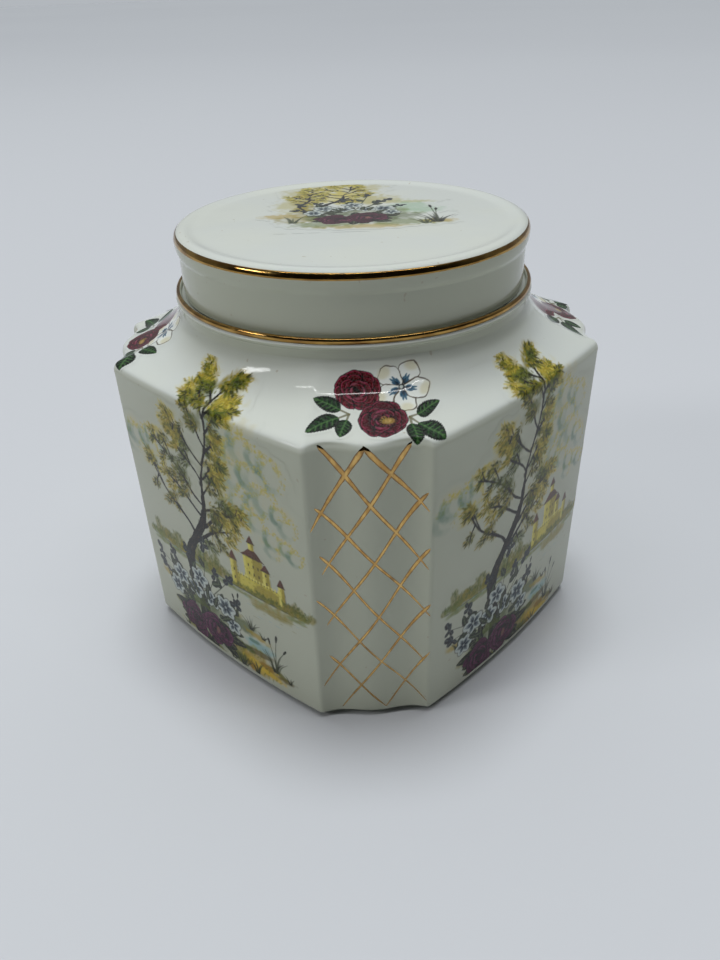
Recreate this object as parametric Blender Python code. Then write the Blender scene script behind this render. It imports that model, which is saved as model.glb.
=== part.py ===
"""A square lidded jar for sugar, slip-cast in glazed earthenware: the jar and its loose drop-in lid.

The jar is a box with bowed faces. Each corner is cut to a fluted panel between two ridges. Its shoulder rises
to a round neck, whose lip stands round a flat seat. The lid is a hollow drum: its edge rests on the seat, and
the flange below it hangs in the mouth with room to turn. Metres, +Z up, with the origin under the middle of
the foot. Both pieces are stacks of rings, joined one to the next.
"""

import math

import bmesh
import bpy
from mathutils import Vector

MM = 0.001

# The jar's plan.
FACE_HALF_TOP = 60.8 * MM  # from the axis to a face's ends, at the shoulder
FACE_HALF_BASE = 59.6 * MM  # the same at the foot: the faces draw in a little
FACE_BOW = 2.4 * MM  # how far a face's middle stands out from its ends
RIDGE_LEG = 21.9 * MM  # what each corner's cut takes off a face
RIDGE_RADIUS = 1.6 * MM
FLUTE_TOP = 2.2 * MM  # depth of a corner panel's two flutes at the shoulder
FLUTE_BASE = 1.0 * MM
FLUTE_PLACE = 0.64  # a flute's trough, as a share of the way from the panel's middle to its ridge

# The jar's heights.
WALL = 4.6 * MM
WALL_FOOT_Z = 3.2 * MM  # where the face starts above its rounded lower edge
SHOULDER_Z = 90.7 * MM  # the edge between face and shoulder
NECK_Z = 104.2 * MM  # the crease where the shoulder meets the neck
SEAT_Z = 108.3 * MM  # the flat that the lid rests on
LIP_Z = 109.6 * MM  # the top of the lip round the seat
FLOOR_Z = 5.8 * MM

# Round parts, as radii.
NECK_R = 50.4 * MM
LIP_R = 51.2 * MM
SEAT_R = 49.7 * MM
MOUTH_R = 44.4 * MM
FLANGE_R = 43.4 * MM
LID_WALL_R = 48.8 * MM
LID_EDGE_R = 49.8 * MM

# The lid's heights above the plane that it rests on.
SEAT_GAP = 0.3 * MM  # left between the lid and the seat
FLANGE_DEPTH = 9.0 * MM
LID_HEIGHT = 17.2 * MM
LID_INNER_HEIGHT = 12.2 * MM

FACE_STEPS = 4  # points on half a face
ARC_STEPS = 2  # steps round a ridge
PANEL_STEPS = 4  # points on half a corner panel
LID_STEPS = 56

SHOULDER = (  # share of the way out from the neck, share of the way up from the shoulder's edge
    (0.992, -0.055),
    (0.965, 0.025),
    (0.92, 0.065),
    (0.80, 0.125),
    (0.62, 0.225),
    (0.42, 0.370),
    (0.25, 0.540),
    (0.11, 0.740),
    (0.03, 0.910),
)
INNER_SHOULDER = ((0.98, 0.03), (0.90, 0.10), (0.50, 0.46), (0.10, 0.88))


def clear_scene():
    for obj in list(bpy.data.objects):
        bpy.data.objects.remove(obj)


def glaze_material(name, colour, roughness):
    material = bpy.data.materials.new(name)
    material.use_nodes = True
    shader = material.node_tree.nodes["Principled BSDF"]
    shader.inputs["Base Color"].default_value = (*colour, 1.0)
    shader.inputs["Roughness"].default_value = roughness
    shader.inputs["Metallic"].default_value = 0.0
    return material


def rounded(before, corner, after, radius):
    """Points of the arc that rounds one corner of an anticlockwise outline."""
    corner = Vector(corner)
    back, ahead = (Vector(before) - corner).normalized(), (Vector(after) - corner).normalized()
    half_angle = back.angle(ahead) / 2
    centre = corner + (back + ahead).normalized() * radius / math.sin(half_angle)
    start = corner + back * radius / math.tan(half_angle) - centre
    first, sweep = math.atan2(start.y, start.x), math.pi - 2 * half_angle
    angles = [first + sweep * i / ARC_STEPS for i in range(ARC_STEPS + 1)]
    return [(centre.x + radius * math.cos(a), centre.y + radius * math.sin(a)) for a in angles]


def panel_relief(along, half, flute):
    """How far a corner panel stands out from the line between its ridges, at a distance from its middle."""
    trough = FLUTE_PLACE * half
    if along <= trough:
        return -flute * (1 - math.cos(math.pi * along / trough)) / 2
    return -flute * (1 - ((along - trough) / (half - trough)) ** 2)


def plan(face_half, flute, leg=RIDGE_LEG, ridge_radius=RIDGE_RADIUS):
    """The jar's outline as (x, y) points, anticlockwise from the middle of the +X face."""
    reach = face_half - leg
    face = [
        (face_half + FACE_BOW * (1 - (i / FACE_STEPS) ** 2), reach * i / FACE_STEPS)
        for i in range(FACE_STEPS)
    ]
    half, middle, root = leg / math.sqrt(2), (face_half + reach) / 2, math.sqrt(2)
    panel = []
    for i in range(PANEL_STEPS + 1):
        along = half * (1 - i / PANEL_STEPS)
        out = panel_relief(along, half, flute)
        panel.append((middle + (out + along) / root, middle + (out - along) / root))
    eighth = face + rounded(face[-1], panel[0], panel[1], ridge_radius) + panel[1:]
    quarter = eighth + [(y, x) for x, y in reversed(eighth[1:-1])]
    turned = []
    for cos, sin in ((1, 0), (0, 1), (-1, 0), (0, -1)):
        turned += [(x * cos - y * sin, x * sin + y * cos) for x, y in quarter]
    return turned


def ring(outline, z):
    return [Vector((x, y, z)) for x, y in outline]


def round_ring(angles, radius, z):
    return [Vector((radius * math.cos(a), radius * math.sin(a), z)) for a in angles]


def between(inner, outer, share, z):
    """A ring part of the way from one ring to another."""
    return [Vector((*(a.lerp(b, share)).xy, z)) for a, b in zip(inner, outer)]


def face_half_at(z):
    share = (z - WALL_FOOT_Z) / (SHOULDER_Z - WALL_FOOT_Z)
    return FACE_HALF_BASE + (FACE_HALF_TOP - FACE_HALF_BASE) * share


def flute_at(z):
    return FLUTE_BASE + (FLUTE_TOP - FLUTE_BASE) * z / SHOULDER_Z


def foot_rings():
    """The underside's recess, the foot that stands on the table, and the face's rounded lower edge."""
    steps = ((7.0, 1.6), (6.4, 0), (3.6, 0), (3.1, 0.9), (1.5, 1.0), (0.5, 1.5), (0.1, 2.3))
    return [ring(plan(FACE_HALF_BASE - inset * MM, FLUTE_BASE), z * MM) for inset, z in steps]


def wall_rings():
    heights = (WALL_FOOT_Z, 33 * MM, 62 * MM, SHOULDER_Z - 2.2 * MM)
    return [ring(plan(face_half_at(z), flute_at(z)), z) for z in heights]


def shoulder_rings(edge, neck, profile, low_z, high_z):
    return [between(neck, edge, out, low_z + (high_z - low_z) * up) for out, up in profile]


def jar_rings():
    """Every ring of the jar, from its underside up the outside, over the lip and down to its floor."""
    edge = ring(plan(FACE_HALF_TOP, FLUTE_TOP), SHOULDER_Z)
    angles = [math.atan2(p.y, p.x) for p in edge]
    inner_plan = plan(face_half_at(SHOULDER_Z) - WALL, 0, RIDGE_LEG, 5 * MM)
    inner_edge = ring(inner_plan, SHOULDER_Z)
    floor_plan = plan(FACE_HALF_BASE - WALL, 0, RIDGE_LEG, 5 * MM)
    floor_inset = plan(FACE_HALF_BASE - WALL - 4 * MM, 0, RIDGE_LEG, 5 * MM)

    neck = round_ring(angles, NECK_R, NECK_Z)
    mouth = round_ring(angles, MOUTH_R, NECK_Z)
    lip_profile = (
        (NECK_R, NECK_Z),
        (NECK_R, LIP_Z - 2.8 * MM),
        (LIP_R - 0.25 * MM, LIP_Z - 2.1 * MM),
        (LIP_R, LIP_Z - 1.1 * MM),
        (LIP_R - 0.3 * MM, LIP_Z - 0.3 * MM),
        (LIP_R - 0.8 * MM, LIP_Z),
        (SEAT_R + 0.2 * MM, LIP_Z - 0.2 * MM),
        (SEAT_R, SEAT_Z),
        (MOUTH_R + 0.6 * MM, SEAT_Z),
        (MOUTH_R, SEAT_Z - 0.6 * MM),
        (MOUTH_R, NECK_Z - 2.5 * MM),
    )
    rings = foot_rings() + wall_rings()
    rings += shoulder_rings(edge, neck, SHOULDER, SHOULDER_Z, NECK_Z)
    rings += [round_ring(angles, r, z) for r, z in lip_profile]
    inner_low, inner_high = SHOULDER_Z - 4.0 * MM, NECK_Z - 3.5 * MM
    rings += reversed(shoulder_rings(inner_edge, mouth, INNER_SHOULDER, inner_low, inner_high))
    rings += [
        ring(inner_plan, inner_low - 3 * MM),
        ring(floor_plan, FLOOR_Z + 5 * MM),
        between(ring(floor_inset, 0), ring(floor_plan, 0), 0.7, FLOOR_Z + 1.2 * MM),
        ring(floor_inset, FLOOR_Z),
    ]
    return rings


def lid_rings():
    """Every ring of the lid above the plane it rests on, from its hollow underside out and over the top."""
    profile = (
        (40.0 * MM, LID_INNER_HEIGHT),
        (43.6 * MM, LID_INNER_HEIGHT - 1.2 * MM),
        (44.6 * MM, LID_INNER_HEIGHT - 4.0 * MM),
        (44.4 * MM, 4.2 * MM),
        (40.6 * MM, 0.8 * MM),
        (FLANGE_R - 3.6 * MM, -1.0 * MM),
        (FLANGE_R - 3.2 * MM, -FLANGE_DEPTH + 0.8 * MM),
        (FLANGE_R - 2.4 * MM, -FLANGE_DEPTH),
        (FLANGE_R - 1.1 * MM, -FLANGE_DEPTH),
        (FLANGE_R - 0.3 * MM, -FLANGE_DEPTH + 0.8 * MM),
        (FLANGE_R, -1.0 * MM),
        (FLANGE_R + 0.8 * MM, 0),
        (LID_WALL_R - 0.6 * MM, 0),
        (LID_WALL_R, 0.6 * MM),
        (LID_WALL_R + 0.2 * MM, LID_HEIGHT - 6.2 * MM),
        (LID_EDGE_R - 0.4 * MM, LID_HEIGHT - 5.3 * MM),
        (LID_EDGE_R - 0.1 * MM, LID_HEIGHT - 4.2 * MM),
        (LID_EDGE_R, LID_HEIGHT - 2.2 * MM),
        (LID_EDGE_R - 0.5 * MM, LID_HEIGHT - 1.0 * MM),
        (LID_EDGE_R - 1.6 * MM, LID_HEIGHT - 0.3 * MM),
        (LID_EDGE_R - 3.0 * MM, LID_HEIGHT),
        (45.6 * MM, LID_HEIGHT - 0.3 * MM),
        (43.6 * MM, LID_HEIGHT - 0.7 * MM),
    )
    angles = [2 * math.pi * i / LID_STEPS for i in range(LID_STEPS)]
    return [round_ring(angles, r, z) for r, z in profile]


def lofted(name, rings, material):
    """One closed body from a stack of rings, each joined to the next, with the two ends filled."""
    bm = bmesh.new()
    loops = [[bm.verts.new(point) for point in ring_points] for ring_points in rings]
    for near, far in zip(loops, loops[1:]):
        for i in range(len(near)):
            bm.faces.new((near[i - 1], near[i], far[i], far[i - 1]))
    bm.faces.new(list(reversed(loops[0])))
    bm.faces.new(loops[-1])
    mesh = bpy.data.meshes.new(name)
    bm.to_mesh(mesh)
    bm.free()
    mesh.shade_smooth()
    mesh.set_sharp_from_angle(angle=math.radians(40))
    mesh.materials.append(material)
    obj = bpy.data.objects.new(name, mesh)
    bpy.context.scene.collection.objects.link(obj)
    return obj


def main():
    clear_scene()
    glaze = glaze_material("glaze", (0.78, 0.80, 0.75), 0.1)
    lid_glaze = glaze_material("lid_glaze", (0.80, 0.82, 0.78), 0.1)
    lofted("jar", jar_rings(), glaze)
    lid = lofted("lid", lid_rings(), lid_glaze)
    lid.location = (0, 0, SEAT_Z + SEAT_GAP)


main()
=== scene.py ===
"""The looks of the square lidded jar: its glaze, gilding and prints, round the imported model.

Everything is worked out in millimetres and turned to metres as a mesh is made. The jar's and the lid's
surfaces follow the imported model's, with finer rings. The gilding and the prints are thin films just above
the glaze, as on the real jar. Each print is painted on a grid by the brush functions, and its film is cut
out round the ink.
"""

from math import acos, atan2, cos, degrees, hypot, pi, radians, sin, sqrt, tan

import bpy
import numpy as np
from mathutils import Matrix, Vector


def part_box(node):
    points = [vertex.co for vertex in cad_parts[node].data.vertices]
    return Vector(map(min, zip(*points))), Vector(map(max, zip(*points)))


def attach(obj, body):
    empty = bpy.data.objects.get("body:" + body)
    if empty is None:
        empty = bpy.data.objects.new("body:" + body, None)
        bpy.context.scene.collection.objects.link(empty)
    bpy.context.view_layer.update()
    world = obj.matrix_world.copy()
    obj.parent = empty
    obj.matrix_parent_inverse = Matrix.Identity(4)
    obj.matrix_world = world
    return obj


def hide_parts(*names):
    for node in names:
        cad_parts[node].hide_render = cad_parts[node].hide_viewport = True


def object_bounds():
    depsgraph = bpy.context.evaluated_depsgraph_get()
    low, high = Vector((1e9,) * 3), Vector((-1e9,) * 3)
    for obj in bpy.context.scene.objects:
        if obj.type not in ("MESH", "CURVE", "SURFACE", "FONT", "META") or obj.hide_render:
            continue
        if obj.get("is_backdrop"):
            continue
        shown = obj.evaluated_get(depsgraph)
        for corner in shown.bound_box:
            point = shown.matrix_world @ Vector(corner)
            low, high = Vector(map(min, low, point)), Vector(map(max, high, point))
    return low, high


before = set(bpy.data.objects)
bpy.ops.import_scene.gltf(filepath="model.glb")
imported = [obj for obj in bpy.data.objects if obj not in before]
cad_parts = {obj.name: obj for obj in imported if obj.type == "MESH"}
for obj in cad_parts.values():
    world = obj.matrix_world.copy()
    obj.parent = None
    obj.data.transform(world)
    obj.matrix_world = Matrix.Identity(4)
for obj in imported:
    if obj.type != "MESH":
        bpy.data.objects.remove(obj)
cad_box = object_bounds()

MM = 0.001
jar_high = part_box("jar")[1]
lid_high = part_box("lid")[1]

# ---------------------------------------------------------------------------------------------- sizes, in mm
FACE_BOW = 2.4  # how far a face's middle stands out from its ends
FACE_HALF_TOP = jar_high.x / MM - FACE_BOW  # from the axis to a face's ends, at the shoulder
FACE_HALF_BASE = FACE_HALF_TOP - 1.2
RIDGE_LEG = 21.9  # what each corner's cut takes off a face
RIDGE_RADIUS = 1.6
FLUTE_TOP = 2.2  # depth of a corner panel's two flutes at the shoulder
FLUTE_BASE = 1.0
FLUTE_REST = 1.2  # what is left of the flutes on the shoulder, above the panel's edge
FLUTE_PLACE = 0.64  # a flute's trough, as a share of the way from the panel's middle to its ridge
WALL = 4.6
INNER_RADIUS = 5.0  # the jar's inner corners and the round where its floor meets the wall

LIP_Z = jar_high.z / MM  # the top of the lip round the seat
SEAT_Z = LIP_Z - 1.3
NECK_Z = LIP_Z - 5.4  # the crease where the shoulder meets the neck
SHOULDER_Z = LIP_Z - 18.9  # the edge between face and shoulder
WALL_TOP_Z = SHOULDER_Z - 2.2
WALL_FOOT_Z = 3.2
FLOOR_Z = 5.8

LIP_R = 51.2
NECK_R = LIP_R - 0.8
SEAT_R = LIP_R - 1.5
MOUTH_R = 44.4
LID_PLANE_Z = lid_high.z / MM - 17.2  # the plane on which the lid rests

FILM = 0.04  # how far a print stands off the glaze
GILT = 0.05  # and the gilding

# -------------------------------------------------------------------------------------------- the jar's shape
SHOULDER = (  # share of the way out from the neck, share of the way up from the shoulder's edge
    (1.0, -0.163), (1.0, -0.11), (0.992, -0.055), (0.968, 0.015), (0.92, 0.062), (0.80, 0.125),
    (0.62, 0.225), (0.42, 0.370), (0.25, 0.540), (0.11, 0.740), (0.03, 0.910), (0.0, 1.0),
)
INNER_SHOULDER = (  # the same, from the mouth to the inside of the wall
    (0.0, 1.0), (0.10, 0.88), (0.28, 0.68), (0.50, 0.46),
    (0.72, 0.24), (0.90, 0.10), (0.98, 0.03), (1.0, -0.08),
)
FOOT = (  # how far in from the face, height: the recess, the foot ring and the rounded lower edge
    (9.0, 1.7), (7.4, 1.65), (6.9, 1.3), (6.65, 0.4), (6.4, 0.05), (6.1, 0.0), (3.9, 0.0), (3.6, 0.05),
    (3.3, 0.5), (3.0, 0.9), (2.3, 0.95), (1.5, 1.05), (0.8, 1.4), (0.3, 1.95), (0.06, 2.6),
    (0.0, WALL_FOOT_Z),
)
LIP = (  # radius, height: up the neck, over the glaze bead and the gilded lip, and down past the seat
    (NECK_R, NECK_Z + 0.25), (NECK_R, LIP_Z - 3.6), (NECK_R + 0.1, LIP_Z - 3.2),
    (LIP_R - 0.10, LIP_Z - 2.75), (LIP_R + 0.12, LIP_Z - 2.35), (LIP_R + 0.08, LIP_Z - 2.0),
    (LIP_R - 0.20, LIP_Z - 1.68), (LIP_R - 0.34, LIP_Z - 1.5), (LIP_R - 0.14, LIP_Z - 1.05),
    (LIP_R - 0.16, LIP_Z - 0.5), (LIP_R - 0.42, LIP_Z - 0.12), (LIP_R - 0.8, LIP_Z),
    (SEAT_R + 0.35, LIP_Z - 0.12), (SEAT_R + 0.05, LIP_Z - 0.5), (SEAT_R - 0.05, SEAT_Z + 0.2),
    (SEAT_R - 0.4, SEAT_Z), (MOUTH_R + 1.0, SEAT_Z), (MOUTH_R + 0.2, SEAT_Z - 0.2),
    (MOUTH_R, SEAT_Z - 0.9), (MOUTH_R, NECK_Z - 2.5),
)
LIP_GILT = slice(7, 13)  # the lip's part that is gilded
LID = (  # radius, height above the plane that the lid rests on: from the hollow underside, over the top
    (40.0, 12.2), (42.4, 12.0), (43.8, 11.0), (44.6, 8.2), (44.4, 4.2), (43.2, 2.2), (41.2, 1.0),
    (40.0, -0.8), (39.8, -1.6), (40.2, -8.0), (40.6, -8.8), (41.2, -9.0), (42.2, -9.0), (42.9, -8.6),
    (43.15, -8.0), (43.4, -1.4), (43.6, -0.5), (44.4, 0.0), (48.0, 0.0), (48.6, 0.15), (48.8, 0.7),
    (48.85, 5.0), (48.95, 10.4), (49.1, 11.3), (49.45, 12.1), (49.7, 13.2), (49.8, 14.6), (49.65, 15.6),
    (49.2, 16.4), (48.4, 16.95), (47.3, 17.2), (46.3, 17.1), (45.2, 16.8), (43.8, 16.55), (41.0, 16.5),
)
LID_TOP = LID[-1][1]
LID_EDGE = slice(20, 31)  # the lid's part from its lower edge to the top of its rim
LID_GILT = (14.85, 16.6)  # the gilt band's lower and upper edge, above the plane that the lid rests on
LID_SEGMENTS = 224


def smooth(x):
    """The share x, eased at both ends."""
    x = np.clip(x, 0, 1)
    return x * x * (3 - 2 * x)


def catmull(points, steps):
    """A smooth curve through rows of numbers, with so many samples to each span."""
    p = np.asarray(points, float)
    p = np.vstack([2 * p[0] - p[1], p, 2 * p[-1] - p[-2]])
    t = np.linspace(0, 1, steps, endpoint=False)[:, None]
    spans = []
    for a, b, c, d in zip(p, p[1:], p[2:], p[3:]):
        cubic = (2 * a - 5 * b + 4 * c - d) * t**2 + (3 * b - a - 3 * c + d) * t**3
        spans.append(0.5 * (2 * b + (c - a) * t + cubic))
    return np.vstack(spans + [p[-2][None]])


def run_of(path):
    """The distance along a path to each of its points."""
    return np.concatenate([[0], np.cumsum(np.hypot(*np.diff(path, axis=0).T))])


def sides_of(path):
    """Unit steps along a path at its points, turned a quarter to the left."""
    step = np.gradient(path, axis=0)
    step /= np.linalg.norm(step, axis=1, keepdims=True)
    return np.stack([-step[:, 1], step[:, 0]], 1)


def circle(count):
    return 2 * pi * np.arange(count) / count


def face_half_at(z):
    share = (z - WALL_FOOT_Z) / (SHOULDER_Z - WALL_FOOT_Z)
    return FACE_HALF_BASE + (FACE_HALF_TOP - FACE_HALF_BASE) * share


def flute_at(z):
    return FLUTE_BASE + (FLUTE_TOP - FLUTE_BASE) * z / SHOULDER_Z


def panel_points(along, face_half, flute, half):
    """Points of a corner panel at distances from its middle."""
    trough = FLUTE_PLACE * half
    inner = -flute * (1 - np.cos(np.pi * along / trough)) / 2
    outer = -flute * (1 - ((along - trough) / (half - trough)) ** 2)
    out = np.where(along <= trough, inner, outer)
    middle = face_half - half / sqrt(2)
    return np.stack([middle + (out + along) / sqrt(2), middle + (out - along) / sqrt(2)], -1)


def plan(face_half, flute, ridge_radius=RIDGE_RADIUS, face_steps=26, arc_steps=6, panel_steps=26):
    """The jar's outline, (n, 2), anticlockwise from the middle of the +X face."""
    reach = face_half - RIDGE_LEG

    def face_points(end):
        """Points of the bowed face, from its middle to just short of where it ends."""
        along = end * np.arange(face_steps) / face_steps
        return np.stack([face_half + FACE_BOW * (1 - (along / reach) ** 2), along], 1)

    half = RIDGE_LEG / sqrt(2)
    corner, inward = panel_points(np.array([half, half * 0.9]), face_half, flute, half)
    back, ahead = face_points(reach)[-1] - corner, inward - corner
    back, ahead = back / np.hypot(*back), ahead / np.hypot(*ahead)
    half_angle = acos(float(back @ ahead)) / 2
    bisector = (back + ahead) / np.hypot(*(back + ahead))
    centre = corner + bisector * ridge_radius / sin(half_angle)
    trim = ridge_radius / tan(half_angle)
    start = corner + back * trim - centre
    angles = atan2(start[1], start[0]) + np.linspace(0, pi - 2 * half_angle, arc_steps + 1)
    arc = centre + ridge_radius * np.stack([np.cos(angles), np.sin(angles)], 1)
    along = (half - trim) * (1 - (np.arange(panel_steps) + 1) / panel_steps)
    eighth = np.vstack([face_points(reach - trim), arc, panel_points(along, face_half, flute, half)])
    quarter = np.vstack([eighth, eighth[-2:0:-1, ::-1]])
    turns = ((1, 0), (0, 1), (-1, 0), (0, -1))
    return np.vstack([quarter @ np.array([[c, s], [-s, c]]) for c, s in turns])


def ring(outline, z):
    return np.column_stack([outline, np.full(len(outline), z)])


def round_ring(angles, radius, z):
    return ring(radius * np.stack([np.cos(angles), np.sin(angles)], 1), z)


def side_rings(wall_steps, shoulder_steps, **steps):
    """Rings of the outside from the foot's top to the neck, bottom to top."""
    heights = np.linspace(WALL_FOOT_Z, WALL_TOP_Z, wall_steps)
    rings = [ring(plan(face_half_at(z), flute_at(z), **steps), z) for z in heights]
    edge, plain = plan(FACE_HALF_TOP, FLUTE_TOP, **steps), plan(FACE_HALF_TOP, FLUTE_REST, **steps)
    neck = round_ring(np.arctan2(edge[:, 1], edge[:, 0]), NECK_R, 0)[:, :2]
    for out, up in catmull(SHOULDER, shoulder_steps)[1:]:
        rim = edge + (plain - edge) * float(smooth((up + 0.02) / 0.14))
        rings.append(ring(neck + (rim - neck) * out, SHOULDER_Z + (NECK_Z - SHOULDER_Z) * up))
    return rings


def jar_rings():
    """Every ring of the jar, from the middle of its underside up the outside, over the lip, to its floor."""
    edge = plan(FACE_HALF_TOP, FLUTE_TOP)
    angles = np.arctan2(edge[:, 1], edge[:, 0])
    recess = plan(FACE_HALF_BASE - FOOT[0][0], FLUTE_BASE)
    rings = [ring(recess * share, FOOT[0][1]) for share in (0.02, 0.4, 0.75, 0.95)]
    rings += [ring(plan(FACE_HALF_BASE - inset, FLUTE_BASE), z) for inset, z in catmull(FOOT, 3)[:-1]]
    rings += side_rings(18, 4)
    rings += [round_ring(angles, r, z) for r, z in catmull(LIP, 3)]
    inner = plan(face_half_at(SHOULDER_Z) - WALL, 0, INNER_RADIUS)
    floor = plan(FACE_HALF_BASE - WALL, 0, INNER_RADIUS)
    mouth = round_ring(angles, MOUTH_R, 0)[:, :2]
    low, high = SHOULDER_Z - 4.0, NECK_Z - 3.5
    for out, up in catmull(INNER_SHOULDER, 3):
        rings.append(ring(mouth + (inner - mouth) * out, low + (high - low) * up))
    rings += [ring(inner, z) for z in (low - 3.0, low - 4.0)]
    rings.append(ring(floor, FLOOR_Z + INNER_RADIUS))
    for turn in np.linspace(0, pi / 2, 7)[1:]:
        inset = INNER_RADIUS * (1 - cos(turn))
        rings.append(ring(floor * (1 - inset / FACE_HALF_BASE), FLOOR_Z + INNER_RADIUS * (1 - sin(turn))))
    rings += [ring(floor * share, FLOOR_Z) for share in (0.8, 0.6, 0.4, 0.2, 0.02)]
    return rings


def lid_rings():
    """Every ring of the lid, from the middle of its underside, round its flange and edge, to its top."""
    roof = [(r, LID[0][1]) for r in (0.8, 10.0, 20.0, 30.0, 36.0)]
    top = [(r, LID_TOP) for r in (38.0, 30.0, 20.0, 10.0, 0.8)]
    profile = np.vstack([roof, catmull(LID, 3), top])
    return [round_ring(circle(LID_SEGMENTS), r, LID_PLANE_Z + z) for r, z in profile]


def turn_about_z(points, angle):
    c, s = cos(radians(angle)), sin(radians(angle))
    return points @ np.array([[c, s, 0], [-s, c, 0], [0, 0, 1]])


class Sheet:
    """A patch of the jar's outside. u runs to the right; v is the height up the wall and, past its top, the
    distance on over the shoulder. facing turns the -Y side to where the patch is, in degrees."""

    PITCH = 0.4

    def __init__(self, rings, facing, half_width):
        rows, heights = [], []
        self.u = np.arange(-half_width, half_width + self.PITCH, self.PITCH)
        for points in rings:
            points = turn_about_z(points, -facing)
            points = points[points[:, 1] < -1e-6]
            points = points[np.argsort(points[:, 0])]
            rows.append(np.interp(self.u, points[:, 0], points[:, 1]))
            heights.append(points[0, 2])
        rows, heights = np.array(rows), np.array(heights)
        run = run_of(np.column_stack([rows[:, len(self.u) // 2], heights]))
        run += WALL_TOP_Z - run[np.searchsorted(heights, WALL_TOP_Z - 1e-6)]
        self.v = np.arange(run[0], run[-1], self.PITCH)
        depth = np.stack([np.interp(self.v, run, column) for column in rows.T], 1)
        height = np.interp(self.v, run, heights)
        grid = np.stack(np.broadcast_arrays(self.u[None, :], depth, height[:, None]), -1)
        self.points = turn_about_z(grid.reshape(-1, 3), facing).reshape(grid.shape)
        along, up = np.gradient(self.points, axis=1), np.gradient(self.points, axis=0)
        normals = np.cross(along, up)
        self.normals = normals / np.linalg.norm(normals, axis=-1, keepdims=True)

    def at(self, u, v, lift):
        """Points of the surface at any u and v, lifted off it."""
        x = np.clip((u - self.u[0]) / self.PITCH, 1, len(self.u) - 3.001)
        y = np.clip((v - self.v[0]) / self.PITCH, 1, len(self.v) - 3.001)
        i, j = x.astype(int), y.astype(int)
        weights = []
        for t in (x - i, y - j):
            cubics = (-t + 2 * t**2 - t**3, 2 - 5 * t**2 + 3 * t**3, t + 4 * t**2 - 3 * t**3, t**3 - t**2)
            weights.append(0.5 * np.stack(cubics))
        place, normal = 0, 0
        for b in range(4):
            for a in range(4):
                share = (weights[0][a] * weights[1][b])[..., None]
                place = place + share * self.points[j + b - 1, i + a - 1]
                normal = normal + share * self.normals[j + b - 1, i + a - 1]
        normal = normal / np.linalg.norm(normal, axis=-1, keepdims=True)
        return place + normal * np.asarray(lift)[..., None]


# ------------------------------------------------------------------------------------------------ painting
# The prints are painted here, stroke by stroke, on grids in millimetres. Colours are sRGB, 0-255.

OLIVE_DARK = (80, 84, 36)
OLIVE = (136, 138, 50)
OLIVE_GREEN = (112, 126, 48)
OCHRE = (182, 166, 74)
STRAW = (218, 206, 114)
PALE_LEAF = (214, 206, 158)
BARK = (52, 46, 50)
BARK_DARK = (36, 32, 36)
BARK_LIGHT = (140, 124, 108)
BARK_GREY = (104, 100, 102)
CLOUD_TEAL = (128, 160, 146)
CLOUD_BEIGE = (218, 212, 182)
CLOUD_WHITE = (230, 234, 228)
HAZE = (206, 200, 152)
HILL = (160, 158, 82)
HILL_GREEN = (146, 158, 96)
POPLAR = (176, 164, 66)
WALL_YELLOW = (226, 216, 118)
WALL_LIGHT = (238, 232, 160)
WALL_SHADE = (170, 156, 78)
ROOF = (128, 74, 62)
STONE_LINE = (104, 96, 62)
GROUND = (200, 178, 66)
GROUND_LIGHT = (232, 208, 92)
GROUND_DARK = (132, 118, 44)
EARTH = (180, 148, 58)
WATER = (170, 202, 206)
POOL = (184, 206, 184)
REED = (98, 106, 76)
REED_DARK = (46, 46, 32)
STEM = (140, 136, 106)
STAMEN = (146, 120, 62)
GREY_LEAF = (66, 70, 54)
GREY_LEAF_DARK = (34, 38, 30)
GREY_LEAF_LIGHT = (146, 150, 132)
GREY_LEAF_GREEN = (70, 88, 62)
SLATE = (78, 92, 104)
SLATE_DARK = (48, 56, 66)
PETAL = (214, 220, 216)
PETAL_WHITE = (236, 238, 234)
DAISY_BLUE = (52, 98, 126)
DAISY_LINE = (92, 78, 62)
PLUM_DARK = (44, 20, 38)
ROSE_CREAM = (176, 146, 122)
SPRAY_CREAM = (206, 190, 120)
CRIMSON_DARK = (24, 1, 8)
CRIMSON_LIGHT = (150, 60, 90)
CRIMSON_PALE = (198, 142, 158)

# Shades of a leaf or a flower: dark, middle, light
GREY_SHADES = (GREY_LEAF_DARK, GREY_LEAF, GREY_LEAF_LIGHT)
DULL_SHADES = (GREY_LEAF_DARK, GREY_LEAF_GREEN, GREY_LEAF_LIGHT)
LEAF_SHADES = ((8, 26, 14), (34, 76, 40), (128, 160, 108))
PLUM_SHADES = (PLUM_DARK, (114, 58, 98), (162, 112, 142))
CRIMSON_SHADES = (CRIMSON_DARK, (110, 4, 34), (196, 104, 134))
WINE_SHADES = (CRIMSON_DARK, (104, 8, 46), (176, 84, 116))
DAMSON_SHADES = ((38, 14, 28), (98, 36, 66), (170, 112, 136))
FOLIAGE = {
    "ochre": (OLIVE, OCHRE, STRAW),
    "green": (OLIVE_DARK, OLIVE_GREEN, OLIVE),
    "olive": (OLIVE_DARK, OLIVE, OCHRE),
    "straw": (OLIVE, STRAW, PALE_LEAF),
}


def turned(x, y, angle):
    """How far x, y is along a direction, and to the left of it."""
    c, s = cos(radians(angle)), sin(radians(angle))
    return x * c + y * s, y * c - x * s


def around(u, v, reach, angle, squash=1.0):
    """The point at a distance from (u, v) in a direction; squash flattens the circle that it is on."""
    return u + reach * cos(radians(angle)), v + reach * squash * sin(radians(angle))


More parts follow.
